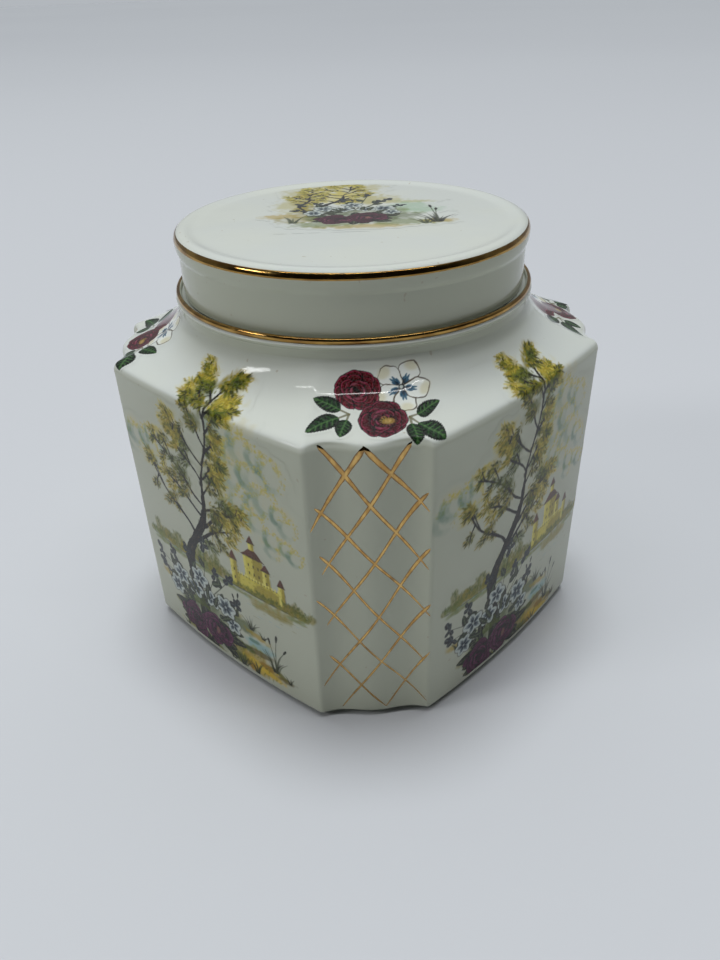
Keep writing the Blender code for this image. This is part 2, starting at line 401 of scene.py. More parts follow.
def noise(u, v, size, rng):
    """Smooth noise from 0 to 1 over a grid of rising u and v, with features of a size in millimetres."""
    x, y = (u - u[0]) / size, (v - v[0]) / size
    lattice = rng.random((int(y[-1]) + 3, int(x[-1]) + 3))
    i, j = x.astype(int), y.astype(int)
    s, t = smooth(x - i)[None, :], smooth(y - j)[:, None]
    low = lattice[np.ix_(j, i)] * (1 - s) + lattice[np.ix_(j, i + 1)] * s
    high = lattice[np.ix_(j + 1, i)] * (1 - s) + lattice[np.ix_(j + 1, i + 1)] * s
    return low * (1 - t) + high * t


class Paper:
    """A print being painted: the ink's colour, and how much it covers, at each point of a grid."""

    def __init__(self, left, right, low, high, pitch, seed):
        self.u = np.arange(left, right + pitch / 2, pitch)
        self.v = np.arange(low, high + pitch / 2, pitch)
        self.pitch = pitch
        self.edge = pitch * 0.75  # a stroke's edge is this soft
        self.rng = np.random.default_rng(seed)
        self.ink = np.full((len(self.v), len(self.u), 3), 0.8)
        self.cover = np.zeros((len(self.v), len(self.u)))
        self.fine, broad, middling = (noise(self.u, self.v, size, self.rng) for size in (0.6, 2.2, 1.0))
        noise(self.u, self.v, 7.0, self.rng)  # not used: it keeps the draws after it as they are
        self.blot = 0.6 * broad + 0.4 * middling

    def window(self, points, reach):
        """The grid's part within reach of some points, and the u and v of its columns and rows."""
        (u0, v0), (u1, v1) = np.min(points, 0) - reach, np.max(points, 0) + reach
        a, b = np.searchsorted(self.u, (u0, u1))
        c, d = np.searchsorted(self.v, (v0, v1))
        return (slice(c, d), slice(a, b)), self.u[None, a:b], self.v[c:d, None]

    def near(self, u, v, reach, angle):
        """The grid's part round a point, and how far it is from there along a direction and to its left."""
        where, x, y = self.window([(u, v)], reach)
        return where, *turned(x - u, y - v, angle)

    def lay(self, where, amount, colour):
        """More ink on a part of the grid."""
        amount = np.clip(amount, 0, 1)
        cover = self.cover[where]
        total = amount + cover * (1 - amount)
        share = (amount / np.maximum(total, 1e-6))[..., None]
        self.ink[where] += (np.asarray(colour, float) / 255 - self.ink[where]) * share
        self.cover[where] = total

    def wash(self, u, v, ru, rv, colour, amount, angle=0, soft=0.6, rough=0.5):
        """A soft blot of thin colour."""
        where, along, side = self.near(u, v, max(ru, rv) * (1.3 + rough / 2), angle)
        away = np.hypot(along / ru, side / rv) + rough * (self.blot[where] - 0.5) * 1.2
        self.lay(where, amount * smooth((1 + soft / 2 - away) / soft), colour)

    def dab(self, u, v, length, width, angle, colour, amount, bend=0.0):
        """One touch of the brush from (u, v): round at its start, pointed at its end."""
        where, along, side = self.near(u, v, length + width, angle)
        along = along / length
        side = side - bend * length * along * (1 - along)
        half = width * np.sqrt(np.clip(along * (1 - along), 0, 1)) * (1.25 - 0.55 * along)
        self.lay(where, amount * np.clip((half - abs(side)) / self.edge + 0.5, 0, 1) * (half > 0), colour)

    def line(self, points, widths, colour, amount, rough=0.0):
        """A brush line through points, with a width at each; returns what the shading of it needs."""
        widths = np.broadcast_to(np.asarray(widths, float), (len(points),))
        path = catmull(np.column_stack([np.asarray(points, float), widths]), 5)
        where, x, y = self.window(path[:, :2], path[:, 2].max() + 1)
        depth = np.full((y.shape[0], x.shape[1]), -9.0)
        across = np.zeros_like(depth)
        for (x0, y0, w0), (x1, y1, w1) in zip(path, path[1:]):
            near = max(w0, w1) / 2 + 1.2
            a, b = np.searchsorted(x[0], (min(x0, x1) - near, max(x0, x1) + near))
            c, d = np.searchsorted(y[:, 0], (min(y0, y1) - near, max(y0, y1) + near))
            if a == b or c == d:
                continue
            px, py = x[:, a:b] - x0, y[c:d] - y0
            dx, dy = x1 - x0, y1 - y0
            run = max(hypot(dx, dy), 1e-6)
            t = np.clip((px * dx + py * dy) / run**2, 0, 1)
            half = (w0 + (w1 - w0) * t) / 2
            here = half - np.hypot(px - dx * t, py - dy * t)
            better = here > depth[c:d, a:b]
            depth[c:d, a:b] = np.where(better, here, depth[c:d, a:b])
            side = (px * dy - py * dx) / run / np.maximum(half, 0.05)
            across[c:d, a:b] = np.where(better, side, across[c:d, a:b])
        mask = np.clip((depth + rough * (self.blot[where] - 0.5)) / self.edge + 0.5, 0, 1)
        self.lay(where, amount * mask, colour)
        return where, mask, across

    def patch(self, points, colour, amount, soft=0.25, rough=0.0):
        """A filled outline."""
        p = np.asarray(points, float)
        where, x, y = self.window(p, 2)
        inside = np.zeros((y.shape[0], x.shape[1]), bool)
        near = np.full(inside.shape, 99.0)
        for (x0, y0), (x1, y1) in zip(p, np.roll(p, -1, 0)):
            dx, dy = x1 - x0, y1 - y0
            t = np.clip(((x - x0) * dx + (y - y0) * dy) / max(dx * dx + dy * dy, 1e-9), 0, 1)
            near = np.minimum(near, np.hypot(x - x0 - dx * t, y - y0 - dy * t))
            if dy:
                inside ^= ((y >= y0) != (y >= y1)) & (x < x0 + (y - y0) * dx / dy)
        depth = np.where(inside, near, -near) + rough * (self.blot[where] - 0.5) * 2
        self.lay(where, amount * smooth(depth / soft + 0.5), colour)


def bough(paper, u, v, ru, rv, tone, thick, lean):
    """A clump of leaves: thin washes, with feathery touches of the brush that fan out of them, and droop."""
    rng = paper.rng
    dark, middle, light = FOLIAGE[tone]
    paper.wash(u, v, ru * 1.25, rv * 1.4, light, 0.3 * thick, lean, soft=1.0, rough=1.0)
    paper.wash(u, v, ru * 0.85, rv * 0.85, middle, 0.45 * thick, lean, soft=0.9, rough=0.9)
    count = int(2.4 * ru * rv * thick) + 4
    for colour, spread, amount, share in (
        (light, 1.1, 0.75, 1.1), (middle, 0.95, 0.85, 1.2), (dark, 0.8, 0.75, 0.8),
    ):
        for _ in range(int(count * share)):
            turn, away = rng.uniform(0, 2 * pi), sqrt(rng.random()) * spread
            x, y = ru * away * cos(turn), rv * away * sin(turn)
            heading = lean + degrees(atan2(1.5 * y / rv - 0.25, x / ru + 1.1)) + rng.normal(0, 16)
            x, y = turned(x, y, -lean)
            size = rng.uniform(0.9, 2.0), rng.uniform(0.32, 0.56)
            paper.dab(u + x, v + y, *size, heading, colour, amount * thick)


def limb(paper, points, widths, rough=0.35):
    """A stem or branch with a lit middle and dark, broken edges."""
    where, mask, across = paper.line(points, widths, BARK, 1.0, rough)
    shade = smooth((abs(across) - 0.35) / 0.5) * (0.4 + 0.9 * paper.fine[where])
    paper.lay(where, mask * 0.75 * shade, BARK_DARK)
    lit = smooth(1 - abs(across + 0.15) / 0.45) * smooth((paper.blot[where] - 0.45) / 0.25)
    paper.lay(where, mask * 0.5 * lit * (np.max(widths) > 1.3), BARK_LIGHT)


def leaf(paper, base, tip, width, shades, bend, serrate, veins):
    """A leaf with a pale rib and veins, darker round its edge."""
    dark, middle, light = shades
    dx, dy = tip[0] - base[0], tip[1] - base[1]
    length = hypot(dx, dy)
    where, along, side = paper.near(*base, length + width, degrees(atan2(dy, dx)))
    along = along / length
    side = side - bend * length * along * (1 - along)
    body = np.clip(along * (1 - along), 0, 1) ** 0.62 * (1.35 - 0.65 * along) * 1.12
    teeth = 1 + serrate * (((along * veins * 2.2 + 0.15 * np.sign(side)) % 1) - 0.5)
    half = width * body * teeth
    mask = np.clip((half - abs(side)) / paper.edge + 0.5, 0, 1) * (body > 0.02)
    out = abs(side) / np.maximum(half, 0.05)
    ray = np.cos(2 * pi * (along * veins - out * 0.9))
    lit = smooth((ray - 0.35) / 0.6) * smooth((0.92 - out) / 0.35) * smooth(along / 0.15)
    for amount, colour in (
        (1, middle),
        (0.9 * smooth((out - 0.5) / 0.5), dark),
        (0.55 * lit * (0.7 + 0.5 * (side > 0)), light),
        (0.45 * smooth(1 - abs(ray + 0.9) / 0.35) * (out > 0.2), dark),
        (0.8 * np.clip(1 - abs(side) / (0.3 + 0.02 * width), 0, 1), light),
    ):
        paper.lay(where, mask * amount, colour)


def petal(paper, u, v, ru, rv, angle, shades, rim):
    """One petal of a rose: a rounded shape that is dark at its root and pale along its outer rim."""
    dark, middle, light = shades
    where, out, side = paper.near(u, v, max(ru, rv) * 1.2, angle)
    out, side = out / ru, side / rv
    away = np.hypot(out, side) * (1 + 0.05 * np.cos(5 * side + angle))
    depth = (1 - away) * min(ru, rv)
    mask = np.clip(depth / paper.edge + 0.5, 0, 1)
    streaks = smooth(np.cos(side * 8 + angle + 2 * out)) * smooth((out - 0.05) / 0.5)
    line = smooth(1 - abs(away - 0.86) * min(ru, rv) / 0.26) * smooth((out + 0.25) / 0.5)
    for amount, colour in (
        (1, middle),
        (0.9 * smooth((0.4 - out) / 0.9), dark),
        (0.4 * rim * streaks, light),
        (min(1, 1.3 * rim) * line * (0.6 + 0.5 * paper.blot[where]), light),
        (0.85 * smooth(1 - depth / 0.3), dark),
    ):
        paper.lay(where, mask * amount, colour)


def rose(paper, u, v, size, shades, turn, heart):
    """A full rose: rings of petals, each ring inside the last, round a heart."""
    rng = paper.rng
    for count, away, big in ((6, 0.60, 0.56), (5, 0.38, 0.44), (3, 0.20, 0.34), (2, 0.08, 0.22)):
        for k in range(count):
            angle = turn + 360 * k / count + rng.normal(0, 13) + 310 * away
            x, y = around(u, v, size * away * rng.uniform(0.82, 1.16), angle, 0.95)
            wide = size * big * rng.uniform(0.84, 1.12)
            petal(paper, x, y, wide * 0.8, wide, angle, shades, 0.2 + 0.7 * rng.random())
    if heart is not None:
        paper.wash(u, v, size * 0.22, size * 0.15, heart, 0.85, turn, rough=0.3)
        for k in range(9):
            angle = degrees(turn + 40 * k)  # a large angle, so that the nine touches come in no plain order
            x, y = around(u, v, size * 0.14, angle, 0.1 / 0.14)
            paper.dab(x, y, size * 0.12, 0.3, angle, shades[1], 0.6)


def daisy(paper, u, v, size, turn, petals, squash):
    """A white flower with slate blue streaks that run out from its heart."""
    angles = [turn + 360 * k / petals for k in range(petals)]
    for reach, long, wide, colour, amount, soft in (
        (0.55, 0.61, 0.46, GREY_LEAF_DARK, 0.6, 0.22), (0.54, 0.55, 0.40, PETAL, 0.97, 0.25),
    ):
        for angle in angles:
            x, y = around(u, v, size * reach, angle, squash)
            paper.wash(x, y, size * long, size * wide, colour, amount, angle, soft, rough=0.15)
    for angle in angles:
        for lean in (-26, -13, 0, 13, 26):
            x, y = around(u, v, size * 0.1, angle, squash)
            paper.dab(x, y, size * (0.8 - abs(lean) / 80), size * 0.13, angle + lean, SLATE, 0.62)
        paper.dab(u, v, size * 0.45, size * 0.12, angle + 8, SLATE_DARK, 0.6)
    paper.wash(u, v, size * 0.12, size * 0.12, PETAL, 0.8, soft=0.5, rough=0)


def bud(paper, u, v, ru, rv, angle):
    """A closed slate blue bell or bud."""
    paper.wash(u, v, ru, rv, SLATE, 0.9, angle, soft=0.25, rough=0.15)
    for back, lean, long, wide, colour, bend in (
        (0.8, -0.5, 1.7, 0.55, SLATE_DARK, -0.05), (0.8, 0.35, 1.7, 0.55, PLUM_DARK, 0.035),
        (0.8, 0.75, 1.7, 0.55, SLATE_DARK, 0.075), (0.4, 0.0, 0.9, 0.22, GREY_LEAF_LIGHT, 0.0),
    ):
        x, y = turned(-ru * back, rv * lean, -angle)
        paper.dab(u + x, v + y, ru * long, rv * wide, angle, colour, 0.7, bend)


# --------------------------------------------------------------------------- the landscape printed on a face
# A park scene of the kind printed on many pots. Its tree, castle, clouds and flowers are grown by rules from
# a few places. u is measured from the middle of the face, and v up from the table and on over the shoulder.


def cloud(paper, u, v, size, lobes):
    """A heap of bare white lobes, with soft shade in the hollows between them and mottled light round it."""
    rng = paper.rng
    for _ in range(5):
        x, y = u + rng.normal(0, 0.7 * size), v + rng.normal(0.3 * size, 0.4 * size)
        paper.wash(x, y, size * 0.7, size * 0.4, CLOUD_BEIGE, 0.4, rng.normal(10, 20), soft=1.2, rough=1.0)
    for k in range(lobes):
        turn = pi * (1.08 - 1.16 * k / max(lobes - 1, 1))
        x = u + size * cos(turn) + rng.normal(0, 0.14 * size)
        y = v + 0.55 * size * sin(turn) + rng.normal(0, 0.12 * size)
        r = size * rng.uniform(0.42, 0.62)
        for _ in range(56):
            a, far = rng.uniform(-1.0, 2.6), rng.uniform(0.8, 1.5) * r
            place = (x + far * cos(a), y + far * sin(a))
            tint = (STRAW, HAZE, CLOUD_BEIGE)[rng.integers(3)]
            paper.dab(*place, rng.uniform(0.5, 1.2), 0.6, rng.uniform(0, 180), tint, 0.5)
        valley = rng.uniform(0.34, 0.56) if k % 2 else rng.uniform(0.14, 0.32)
        for lean, share in ((3.7, 1.0), (2.9, 0.7), (4.5, 0.5)):
            place = (x + 0.95 * r * cos(lean), y + 0.95 * r * sin(lean))
            amount = valley * share
            paper.wash(*place, r * 0.8, r * 0.5, CLOUD_TEAL, amount, degrees(lean) + 90, soft=0.9, rough=0.6)
        where, right, above = paper.near(x, y, 2 * r, 0)
        out = np.hypot(right - 0.1 * r, above * 1.05) / r + 0.12 * (paper.blot[where] - 0.5)
        paper.cover[where] *= 1 - 0.85 * smooth((0.98 - out) / 0.3)


def bushes(paper, left, right, foot, height, tones, step):
    """A row of rounded bushes and small trees, darker at their feet."""
    rng = paper.rng
    for u in np.arange(left, right, step):
        tall = height * rng.uniform(0.6, 1.25)
        colour = tones[rng.integers(len(tones))]
        lean = rng.normal(0, 8)
        paper.wash(u, foot + tall / 2, step * 0.75, tall * 0.62, colour, 0.7, lean, soft=0.6, rough=0.7)
        for _ in range(int(tall * 3) + 3):
            x, y = u + rng.normal(0, step * 0.4), foot + tall * rng.uniform(0.05, 1.0)
            shade = OLIVE if y < foot + tall * 0.5 else OLIVE_GREEN
            paper.dab(x, y, 1.2, 0.5, rng.normal(84, 28), shade, 0.4)


def box(left, right, low, high):
    return (left, low), (right, low), (right, high), (left, high)


def tower(paper, left, right, low, high, peak):
    """A tower, shaded on its right, with windows up it and a pointed roof that overhangs it."""
    middle, eave = (left + right) / 2, 0.09 * (right - left) + 0.15
    wall = box(left, right, low, high)
    paper.patch(wall, WALL_YELLOW, 0.95, 0.3, 0.12)
    paper.patch(box(left, left + 0.8, low, high), WALL_LIGHT, 0.7, 0.4, 0.2)
    shaded = ((middle + 0.3, low), (right, low), (right, high), (middle + 0.1, high))
    paper.patch(shaded, WALL_SHADE, 0.6, 0.5, 0.3)
    eaves = ((left - eave, high), (right + eave, high))
    paper.patch((*eaves, (middle + 0.1 * (right - left), peak), (middle - 0.1, peak)), ROOF, 0.95, 0.3, 0.2)
    paper.patch(((middle + 0.2, high), (right + eave, high), (middle + 0.2, peak)), STONE_LINE, 0.3, 0.4, 0.2)
    for _ in range(int((right - left) * (high - low) * 0.6)):
        x, y = paper.rng.uniform(left, right), paper.rng.uniform(low, high)
        paper.dab(x, y, 0.9, 0.32, paper.rng.choice((0, 90)) + paper.rng.normal(0, 8), POPLAR, 0.4)
    for y in np.arange(low + 3.2, high - 0.8, 2.9):
        for x in np.linspace(left, right, 2 + int((right - left) / 2.4))[1:-1]:
            paper.patch(box(x - 0.25, x + 0.25, y - 0.5, y + 0.5), STONE_LINE, 0.8)
    paper.line(wall, 0.16, STONE_LINE, 0.45, rough=0.4)
    paper.line(eaves, 0.3, STONE_LINE, 0.7, rough=0.3)


def castle(paper, u, v):
    """A keep between two towers, behind a wall with battlements."""
    bushes(paper, u - 16, u + 21, v, 3.4, (WALL_SHADE, POPLAR, HILL), 1.9)
    tower(paper, u - 3.6, u + 3.8, v + 4.5, v + 13.5, v + 17.2)
    tower(paper, u - 0.9, u + 1.3, v + 16.2, v + 18.6, v + 21.2)
    tower(paper, u + 3.4, u + 6.2, v + 3.5, v + 10.8, v + 13.2)
    paper.patch(box(u - 8, u + 10, v, v + 5.6), WALL_YELLOW, 0.95, 0.3, 0.15)
    paper.patch(((u - 2, v), (u + 10, v), (u + 10, v + 4.4), (u + 1, v + 5.2)), WALL_SHADE, 0.55, 0.9, 0.8)
    for x in np.arange(u - 7.6, u + 9.6, 1.15):
        paper.patch(box(x, x + 0.6, v + 5.5, v + 6.3), WALL_LIGHT, 0.9, 0.2)
        paper.line(((x + 0.7, v + 5.4), (x + 1.1, v + 5.4)), 0.3, STONE_LINE, 0.6)
    for _ in range(60):
        x, y = paper.rng.uniform(u - 7.6, u + 9.6), paper.rng.uniform(v + 0.4, v + 5)
        paper.dab(x, y, 0.9, 0.34, paper.rng.normal(0, 8), POPLAR, 0.4)
    tower(paper, u - 9.6, u - 6.8, v, v + 9.6, v + 12.8)
    tower(paper, u + 9.0, u + 11.2, v, v + 8.0, v + 10.6)
    bushes(paper, u - 9, u + 12, v - 0.4, 1.7, (POPLAR, HILL, OLIVE), 1.7)


def far_shore(paper):
    """Woods and a castle across the lake, and what the water shows of them."""
    rng = paper.rng
    bushes(paper, -33.5, -28, 35.8, 2.6, (HILL, HILL_GREEN), 1.6)
    bushes(paper, -29, 3, 36.2, 5.6, (HILL, HILL_GREEN, POPLAR), 2.3)
    bushes(paper, -28, 0, 36.0, 3.0, (HILL_GREEN, POPLAR, HILL), 2.0)
    castle(paper, 17.0, 36.2)
    bushes(paper, 28, 32, 36.0, 4.2, (WALL_SHADE, POPLAR), 1.7)
    bushes(paper, 31.5, 36, 35.6, 2.0, (POPLAR, HILL), 1.3)
    waterline = [(u, 35.8 + 0.15 * sin(u)) for u in range(-33, 36, 6)]
    paper.line(waterline, (0.2, *(0.45,) * 10, 0.2), REED, 0.6, rough=0.6)
    for u in np.arange(-31, 34, 2.2):
        here = POPLAR if 13 < u < 30 else HILL_GREEN
        deep = 3.2 if 13 < u < 30 else 1.2
        paper.wash(u, 35.2 - deep / 2, 1.9, deep * 0.7, here, 0.55, rng.normal(0, 5), soft=0.9, rough=0.8)
    for _ in range(90):
        u = rng.uniform(-31, 34)
        v = 35.6 - abs(rng.normal(0, 3.2 if 8 < u < 32 else 1.0))
        long, lean = rng.uniform(1.4, 3.4), rng.normal(0, 4)
        paper.dab(u, v, long, 0.32, lean, (POPLAR, HILL, WATER)[rng.integers(3)], 0.45)


def tree(paper, root, top, girth, reach, tiers=17, tones=("green", "olive", "ochre"), thick=1.0):
    """A tree with a swaying trunk and branches to alternate sides, which carry separate clumps of leaves."""
    rng = paper.rng
    climb = np.linspace(0, 1, 18)
    sway = reach * (0.15 * np.sin(8.2 * climb + 2.6) * (1 - 0.6 * climb) + 0.05 * np.sin(17 * climb))
    sway += 0.22 * reach * climb**5
    spine = np.array(root) + np.outer(climb, np.subtract(top, root)) + np.outer(sway, (1, 0))
    girths = girth * (1 - 0.76 * smooth((climb - 0.26) / 0.5)) * (1 - 0.5 * climb**3)
    girths = (girths + 0.4 * girth * (1 - climb) ** 12) * (1 + 0.14 * np.sin(31 * climb) * (1 - climb))

    def along(path, share):
        places = np.linspace(0, 1, len(path))
        return np.array([np.interp(share, places, path[:, 0]), np.interp(share, places, path[:, 1])])

    clumps, twigs = [], []
    for k in range(tiers):
        t = 0.34 + 0.64 * k / (tiers - 1) + rng.normal(0, 0.01)
        side = -1 if k % 2 else 1
        length = reach * (1.18 - 0.86 * t) * rng.uniform(0.75, 1.15) * (1.2 if side < 0 else 0.9)
        heading = 90 - side * (70 - 38 * t) + rng.normal(0, 8)
        s = np.linspace(0, 1, 7)[:, None]
        wave = 0.05 * length * np.hstack([np.sin(6 * s + k), np.sin(5 * s + 2 * k) - 1.6 * s**2])
        path = along(spine, t) + s * length * np.array(around(0, 0, 1, heading)) + wave * s**0.5
        twigs.append((path, max(0.7, 0.42 * np.interp(t, climb, girths))))
        for j, place in enumerate((0.34, 0.5, 0.64, 0.78, 0.9, 1.0)):
            at = along(path, place)
            rise = (1 if (j + k) % 2 else -0.6) * rng.uniform(0.09, 0.24) * length * (place < 0.95)
            end = at + np.array([0.5 * side * abs(rise), rise])
            twigs.append((np.array([at, (at + end) / 2 + rng.normal(0, 0.3, 2), end]), 0.6))
            wide = rng.uniform(0.062, 0.11) * reach
            tone = tones[min(2, j // 2 + rng.integers(2))]
            droop = (-38 if side > 0 else 218) + side * 40 * t + rng.normal(0, 14)
            clumps.append((*end, wide * 1.15, wide * rng.uniform(0.42, 0.62), tone, droop))
            if rng.random() < 0.4:
                near = at + rng.normal(0, 0.6, 2)
                clumps.append((*near, wide * 0.8, wide * 0.4, tones[rng.integers(2)], droop))
    clumps = [clump for _, clump in sorted(zip(rng.random(len(clumps)), clumps))]
    behind = len(clumps) // 2
    for *clump, droop in clumps[:behind]:
        bough(paper, *clump, thick, droop)
    for path, width in twigs:
        limb(paper, path, np.linspace(width, 0.4, len(path)))
    limb(paper, spine, girths, rough=0.7)
    for k in range(int(girth * 24)):
        i = rng.integers(0, len(climb) - 6)
        rise = spine[i + 1] - spine[i]
        x, y = spine[i] + rise * rng.random() + np.array([rng.uniform(-0.42, 0.42) * girths[i], 0])
        colour = (BARK_DARK, BARK_LIGHT, BARK_GREY, PLUM_DARK)[k % 4]
        heading = degrees(atan2(rise[1], rise[0])) + rng.normal(0, 14)
        paper.dab(x, y, 1.8, 0.42, heading, colour, 0.5)
    for *clump, droop in clumps[behind:]:
        bough(paper, *clump, thick, droop)


def tuft(paper, u, v, count, height, spread, colour=REED, width=0.6):
    """Blades of grass that fan out of one root."""
    for k in range(count):
        lean = spread * ((k + 0.5) / count - 0.5) * 2 + paper.rng.normal(0, 0.12 * spread)
        tall = height * paper.rng.uniform(0.55, 1.0)
        root = u + 0.22 * lean + paper.rng.normal(0, 0.2)
        points = ((root, v), (root + 0.35 * lean, v + 0.55 * tall), (root + lean, v + tall))
        paper.line(points, (width, width * 0.75, 0.12), colour, 0.75)


def reeds(paper, u, v, heights, lean):
    """Cattails: each a stem with a dark head."""
    for k, tall in enumerate(heights):
        tip = np.array([u + lean * (k - 0.6), v + tall])
        bend = np.array([u + 0.3 * lean * (k - 0.6), v + 0.55 * tall])
        head = 0.16 * tall * (tip - bend) / np.hypot(*(tip - bend)) + (0.1, 0)
        paper.line(((u, v), bend, tip), (0.5, 0.4, 0.28), REED, 0.85)
        paper.line((tip, tip + head * 0.6, tip + head * 1.1), (0.6, 0.95, 0.8), REED_DARK, 0.95, rough=0.2)
        paper.line((tip + head, tip + head * 1.5), (0.25, 0.1), REED_DARK, 0.8)


def bank(paper):
    """The near bank, with a pool, grass and reeds."""
    rng = paper.rng
    for u, v, ru, rv, colour in (
        (-27, 21, 4.0, 1.4, GROUND), (-22, 13, 4.4, 2.0, POPLAR), (-19, 5.6, 3.6, 2.0, POPLAR),
        (-6, 4, 5.0, 1.2, POPLAR), (-14, 19, 5.0, 2.6, HILL_GREEN), (4, 24, 4.6, 1.8, POPLAR),
        (9, 21, 6.4, 2.2, OLIVE_GREEN), (15, 19.8, 4.2, 1.2, GROUND), (14.5, 15.8, 5.2, 1.9, WATER),
        (13.5, 17.0, 2.4, 0.6, CLOUD_TEAL), (6, 8, 5.5, 4.6, GROUND), (13, 8.6, 6.5, 4.2, GROUND),
        (20, 8.0, 5.4, 2.0, GROUND), (25, 7.6, 3.0, 0.9, GROUND_DARK), (14, 12.8, 6.2, 1.0, GROUND_DARK),
        (13, 7.2, 3.6, 2.2, GROUND_LIGHT), (19, 6.4, 4.4, 0.9, GROUND_LIGHT), (10.5, 5.6, 2.6, 1.6, EARTH),
        (17, 9.0, 3.0, 1.0, EARTH), (5, 6, 3.6, 2.8, OLIVE_GREEN), (9, 12.4, 3.0, 1.2, OLIVE_GREEN),
        (22.5, 9.2, 3.6, 0.8, OLIVE),
    ):
        paper.wash(u, v, ru, rv, colour, 0.75, rng.normal(-4, 8), soft=0.8, rough=0.8)
    for _ in range(170):
        u, v = rng.uniform(-24, 22), rng.uniform(3.4, 12.5)
        if u < 1 and rng.random() < 0.5 or v > 13 - 0.3 * max(0, u - 10):
            continue
        colour = (POPLAR, OLIVE, GROUND_LIGHT)[rng.integers(3)]
        paper.dab(u, v, 1.9, 0.45, 80 + rng.normal(0, 22) - 1.3 * (u - 8), colour, 0.45)
    for u, v, count, height, spread in (
        (6.8, 3.2, 7, 6.0, 3.0), (13.0, 3.6, 5, 5.4, 2.4), (2.2, 3.2, 5, 4.0, 2.2), (6.4, 23.4, 7, 6.2, 3.4),
        (12.6, 21.4, 6, 5.2, 3.2), (21.0, 9.0, 9, 7.6, 5.0), (26.6, 7.2, 4, 3.2, 2.2),
        (-27.0, 19.8, 5, 4.0, 3.0), (-21.6, 3.0, 5, 3.6, 2.4), (17.4, 20.0, 4, 2.8, 2.6),
    ):
        tuft(paper, u, v, count, height, spread)
        tuft(paper, u, v, count // 2, height * 0.6, spread * 0.6, REED_DARK, 0.5)
    reeds(paper, 21.4, 9.2, (10.6, 12.6, 9.4), 2.6)
    reeds(paper, 7.4, 23.8, (6.4, 7.6), 2.0)


def posy(paper, u, v, size, shades):
    """Two roses among dark leaves, with white flowers over them and bellflowers on thin stems round those."""
    rng = paper.rng
    dark, _, light = shades
    for k in range(14):
        angle, away = 26 * k + rng.normal(0, 8), size * rng.uniform(0.2, 1.0)
        x, y = around(u, v + 0.25 * size, away, angle, 0.7)
        paper.wash(x, y, size * 0.3, size * 0.2, OLIVE_GREEN, 0.4, rng.uniform(0, 90), soft=0.9, rough=0.8)
    stems = ((36, 1.16), (55, 1.42), (68, 1.2), (82, 1.68), (101, 1.3), (128, 1.26), (143, 1.5), (158, 1.3))
    for k, (angle, far) in enumerate(stems):
        way = angle + rng.normal(0, 3)
        foot, tip = around(u, v + 0.45 * size, 0.3 * size, way), around(u, v + 0.25 * size, size * far, way)
        bend = np.add(foot, tip) / 2 + (0.10 * size * cos(radians(way)), 0.06 * size)
        paper.line((foot, bend, tip), (0.5, 0.4, 0.28), REED, 0.8)
        for lean, out in ((-52, 0.07), (44, 0.07), (4, 0.14), (-20, -0.09)):
            turn = angle + lean + rng.normal(0, 12)
            x, y = around(*tip, size * out, turn)
            bud(paper, x, y, size * rng.uniform(0.055, 0.09), size * rng.uniform(0.04, 0.065), turn)
        stop = around(*bend, size * rng.uniform(0.2, 0.32), way + degrees(0.7 if k % 2 else -0.7))
        leaf(paper, bend, stop, size * 0.14, DULL_SHADES, 0.1, 0.08, 4)
    for k in range(26):
        angle, far = rng.uniform(-10, 190), size * rng.uniform(0.35, 0.98)
        base = around(u, v + 0.18 * size, 0.9 * far, angle, 0.85 / 0.9)
        turn, long = angle + degrees(rng.normal(0, 0.6)), size * rng.uniform(0.16, 0.27)
        shade = (GREY_SHADES, DULL_SHADES)[k % 2]
        leaf(paper, base, around(*base, long, turn), long * 0.55, shade, 0.1, 0.06, 4)
    for angle, far, big in (
        (14, 0.80, 0.2), (43, 0.86, 0.25), (66, 0.6, 0.2), (92, 0.98, 0.23),
        (112, 0.62, 0.22), (134, 0.95, 0.25), (163, 0.92, 0.21),
    ):
        x, y = around(u, v + 0.24 * size, far * size, angle, 0.85)
        daisy(paper, x, y, size * big, rng.uniform(0, 72), 5 + (angle % 2), rng.uniform(0.7, 0.95))
    for angle in (22, 52, 78, 104, 124, 149):
        way, foot = angle + rng.normal(0, 4), v + 0.2 * size
        base = around(u, foot, 0.5 * size, way, 0.9)
        tip = around(u, foot, 0.86 * size, way + degrees(0.1), 0.78 / 0.86)
        leaf(paper, base, tip, size * 0.11, DULL_SHADES, 0.15, 0.06, 4)
    for angle in (196, 215, 238, 262, 292, 318, 342, 4, 176, 28, 60, 96, 132):
        way, far = angle + rng.normal(0, 5), size * rng.uniform(0.8, 1.08)
        squash = 0.62 if angle > 180 else 0.45
        base, tip = around(u, v, size * 0.42, way, squash), around(u, v, far, way, squash)
        leaf(paper, base, tip, size * rng.uniform(0.2, 0.3), GREY_SHADES, rng.uniform(-0.25, 0.25), 0.06, 5)
    for x, y, r, turn in ((-0.42, -0.12, 0.37, 40), (0.28, 0.0, 0.41, 75)):
        x, y, r = u + x * size, v + y * size, size * r
        petal(paper, x - 0.3 * size, y + 0.12 * size, size * 0.16, size * 0.12, 205, shades, 0.5)
        rose(paper, x, y, r, shades, turn, heart=ROSE_CREAM if x > u else dark)
        for k in range(6):
            heading = 84 - 16 * k + rng.normal(0, 6)
            paper.dab(x - r * (0.6 - 0.2 * k), y - 0.3 * r, r * 0.9, 0.9, heading, light, 0.4, 0.3 - 0.12 * k)
            paper.dab(x + r * (0.5 - 0.22 * k), y + 0.4 * r, r * 0.7, 0.8, -heading, dark, 0.45, 0.2)


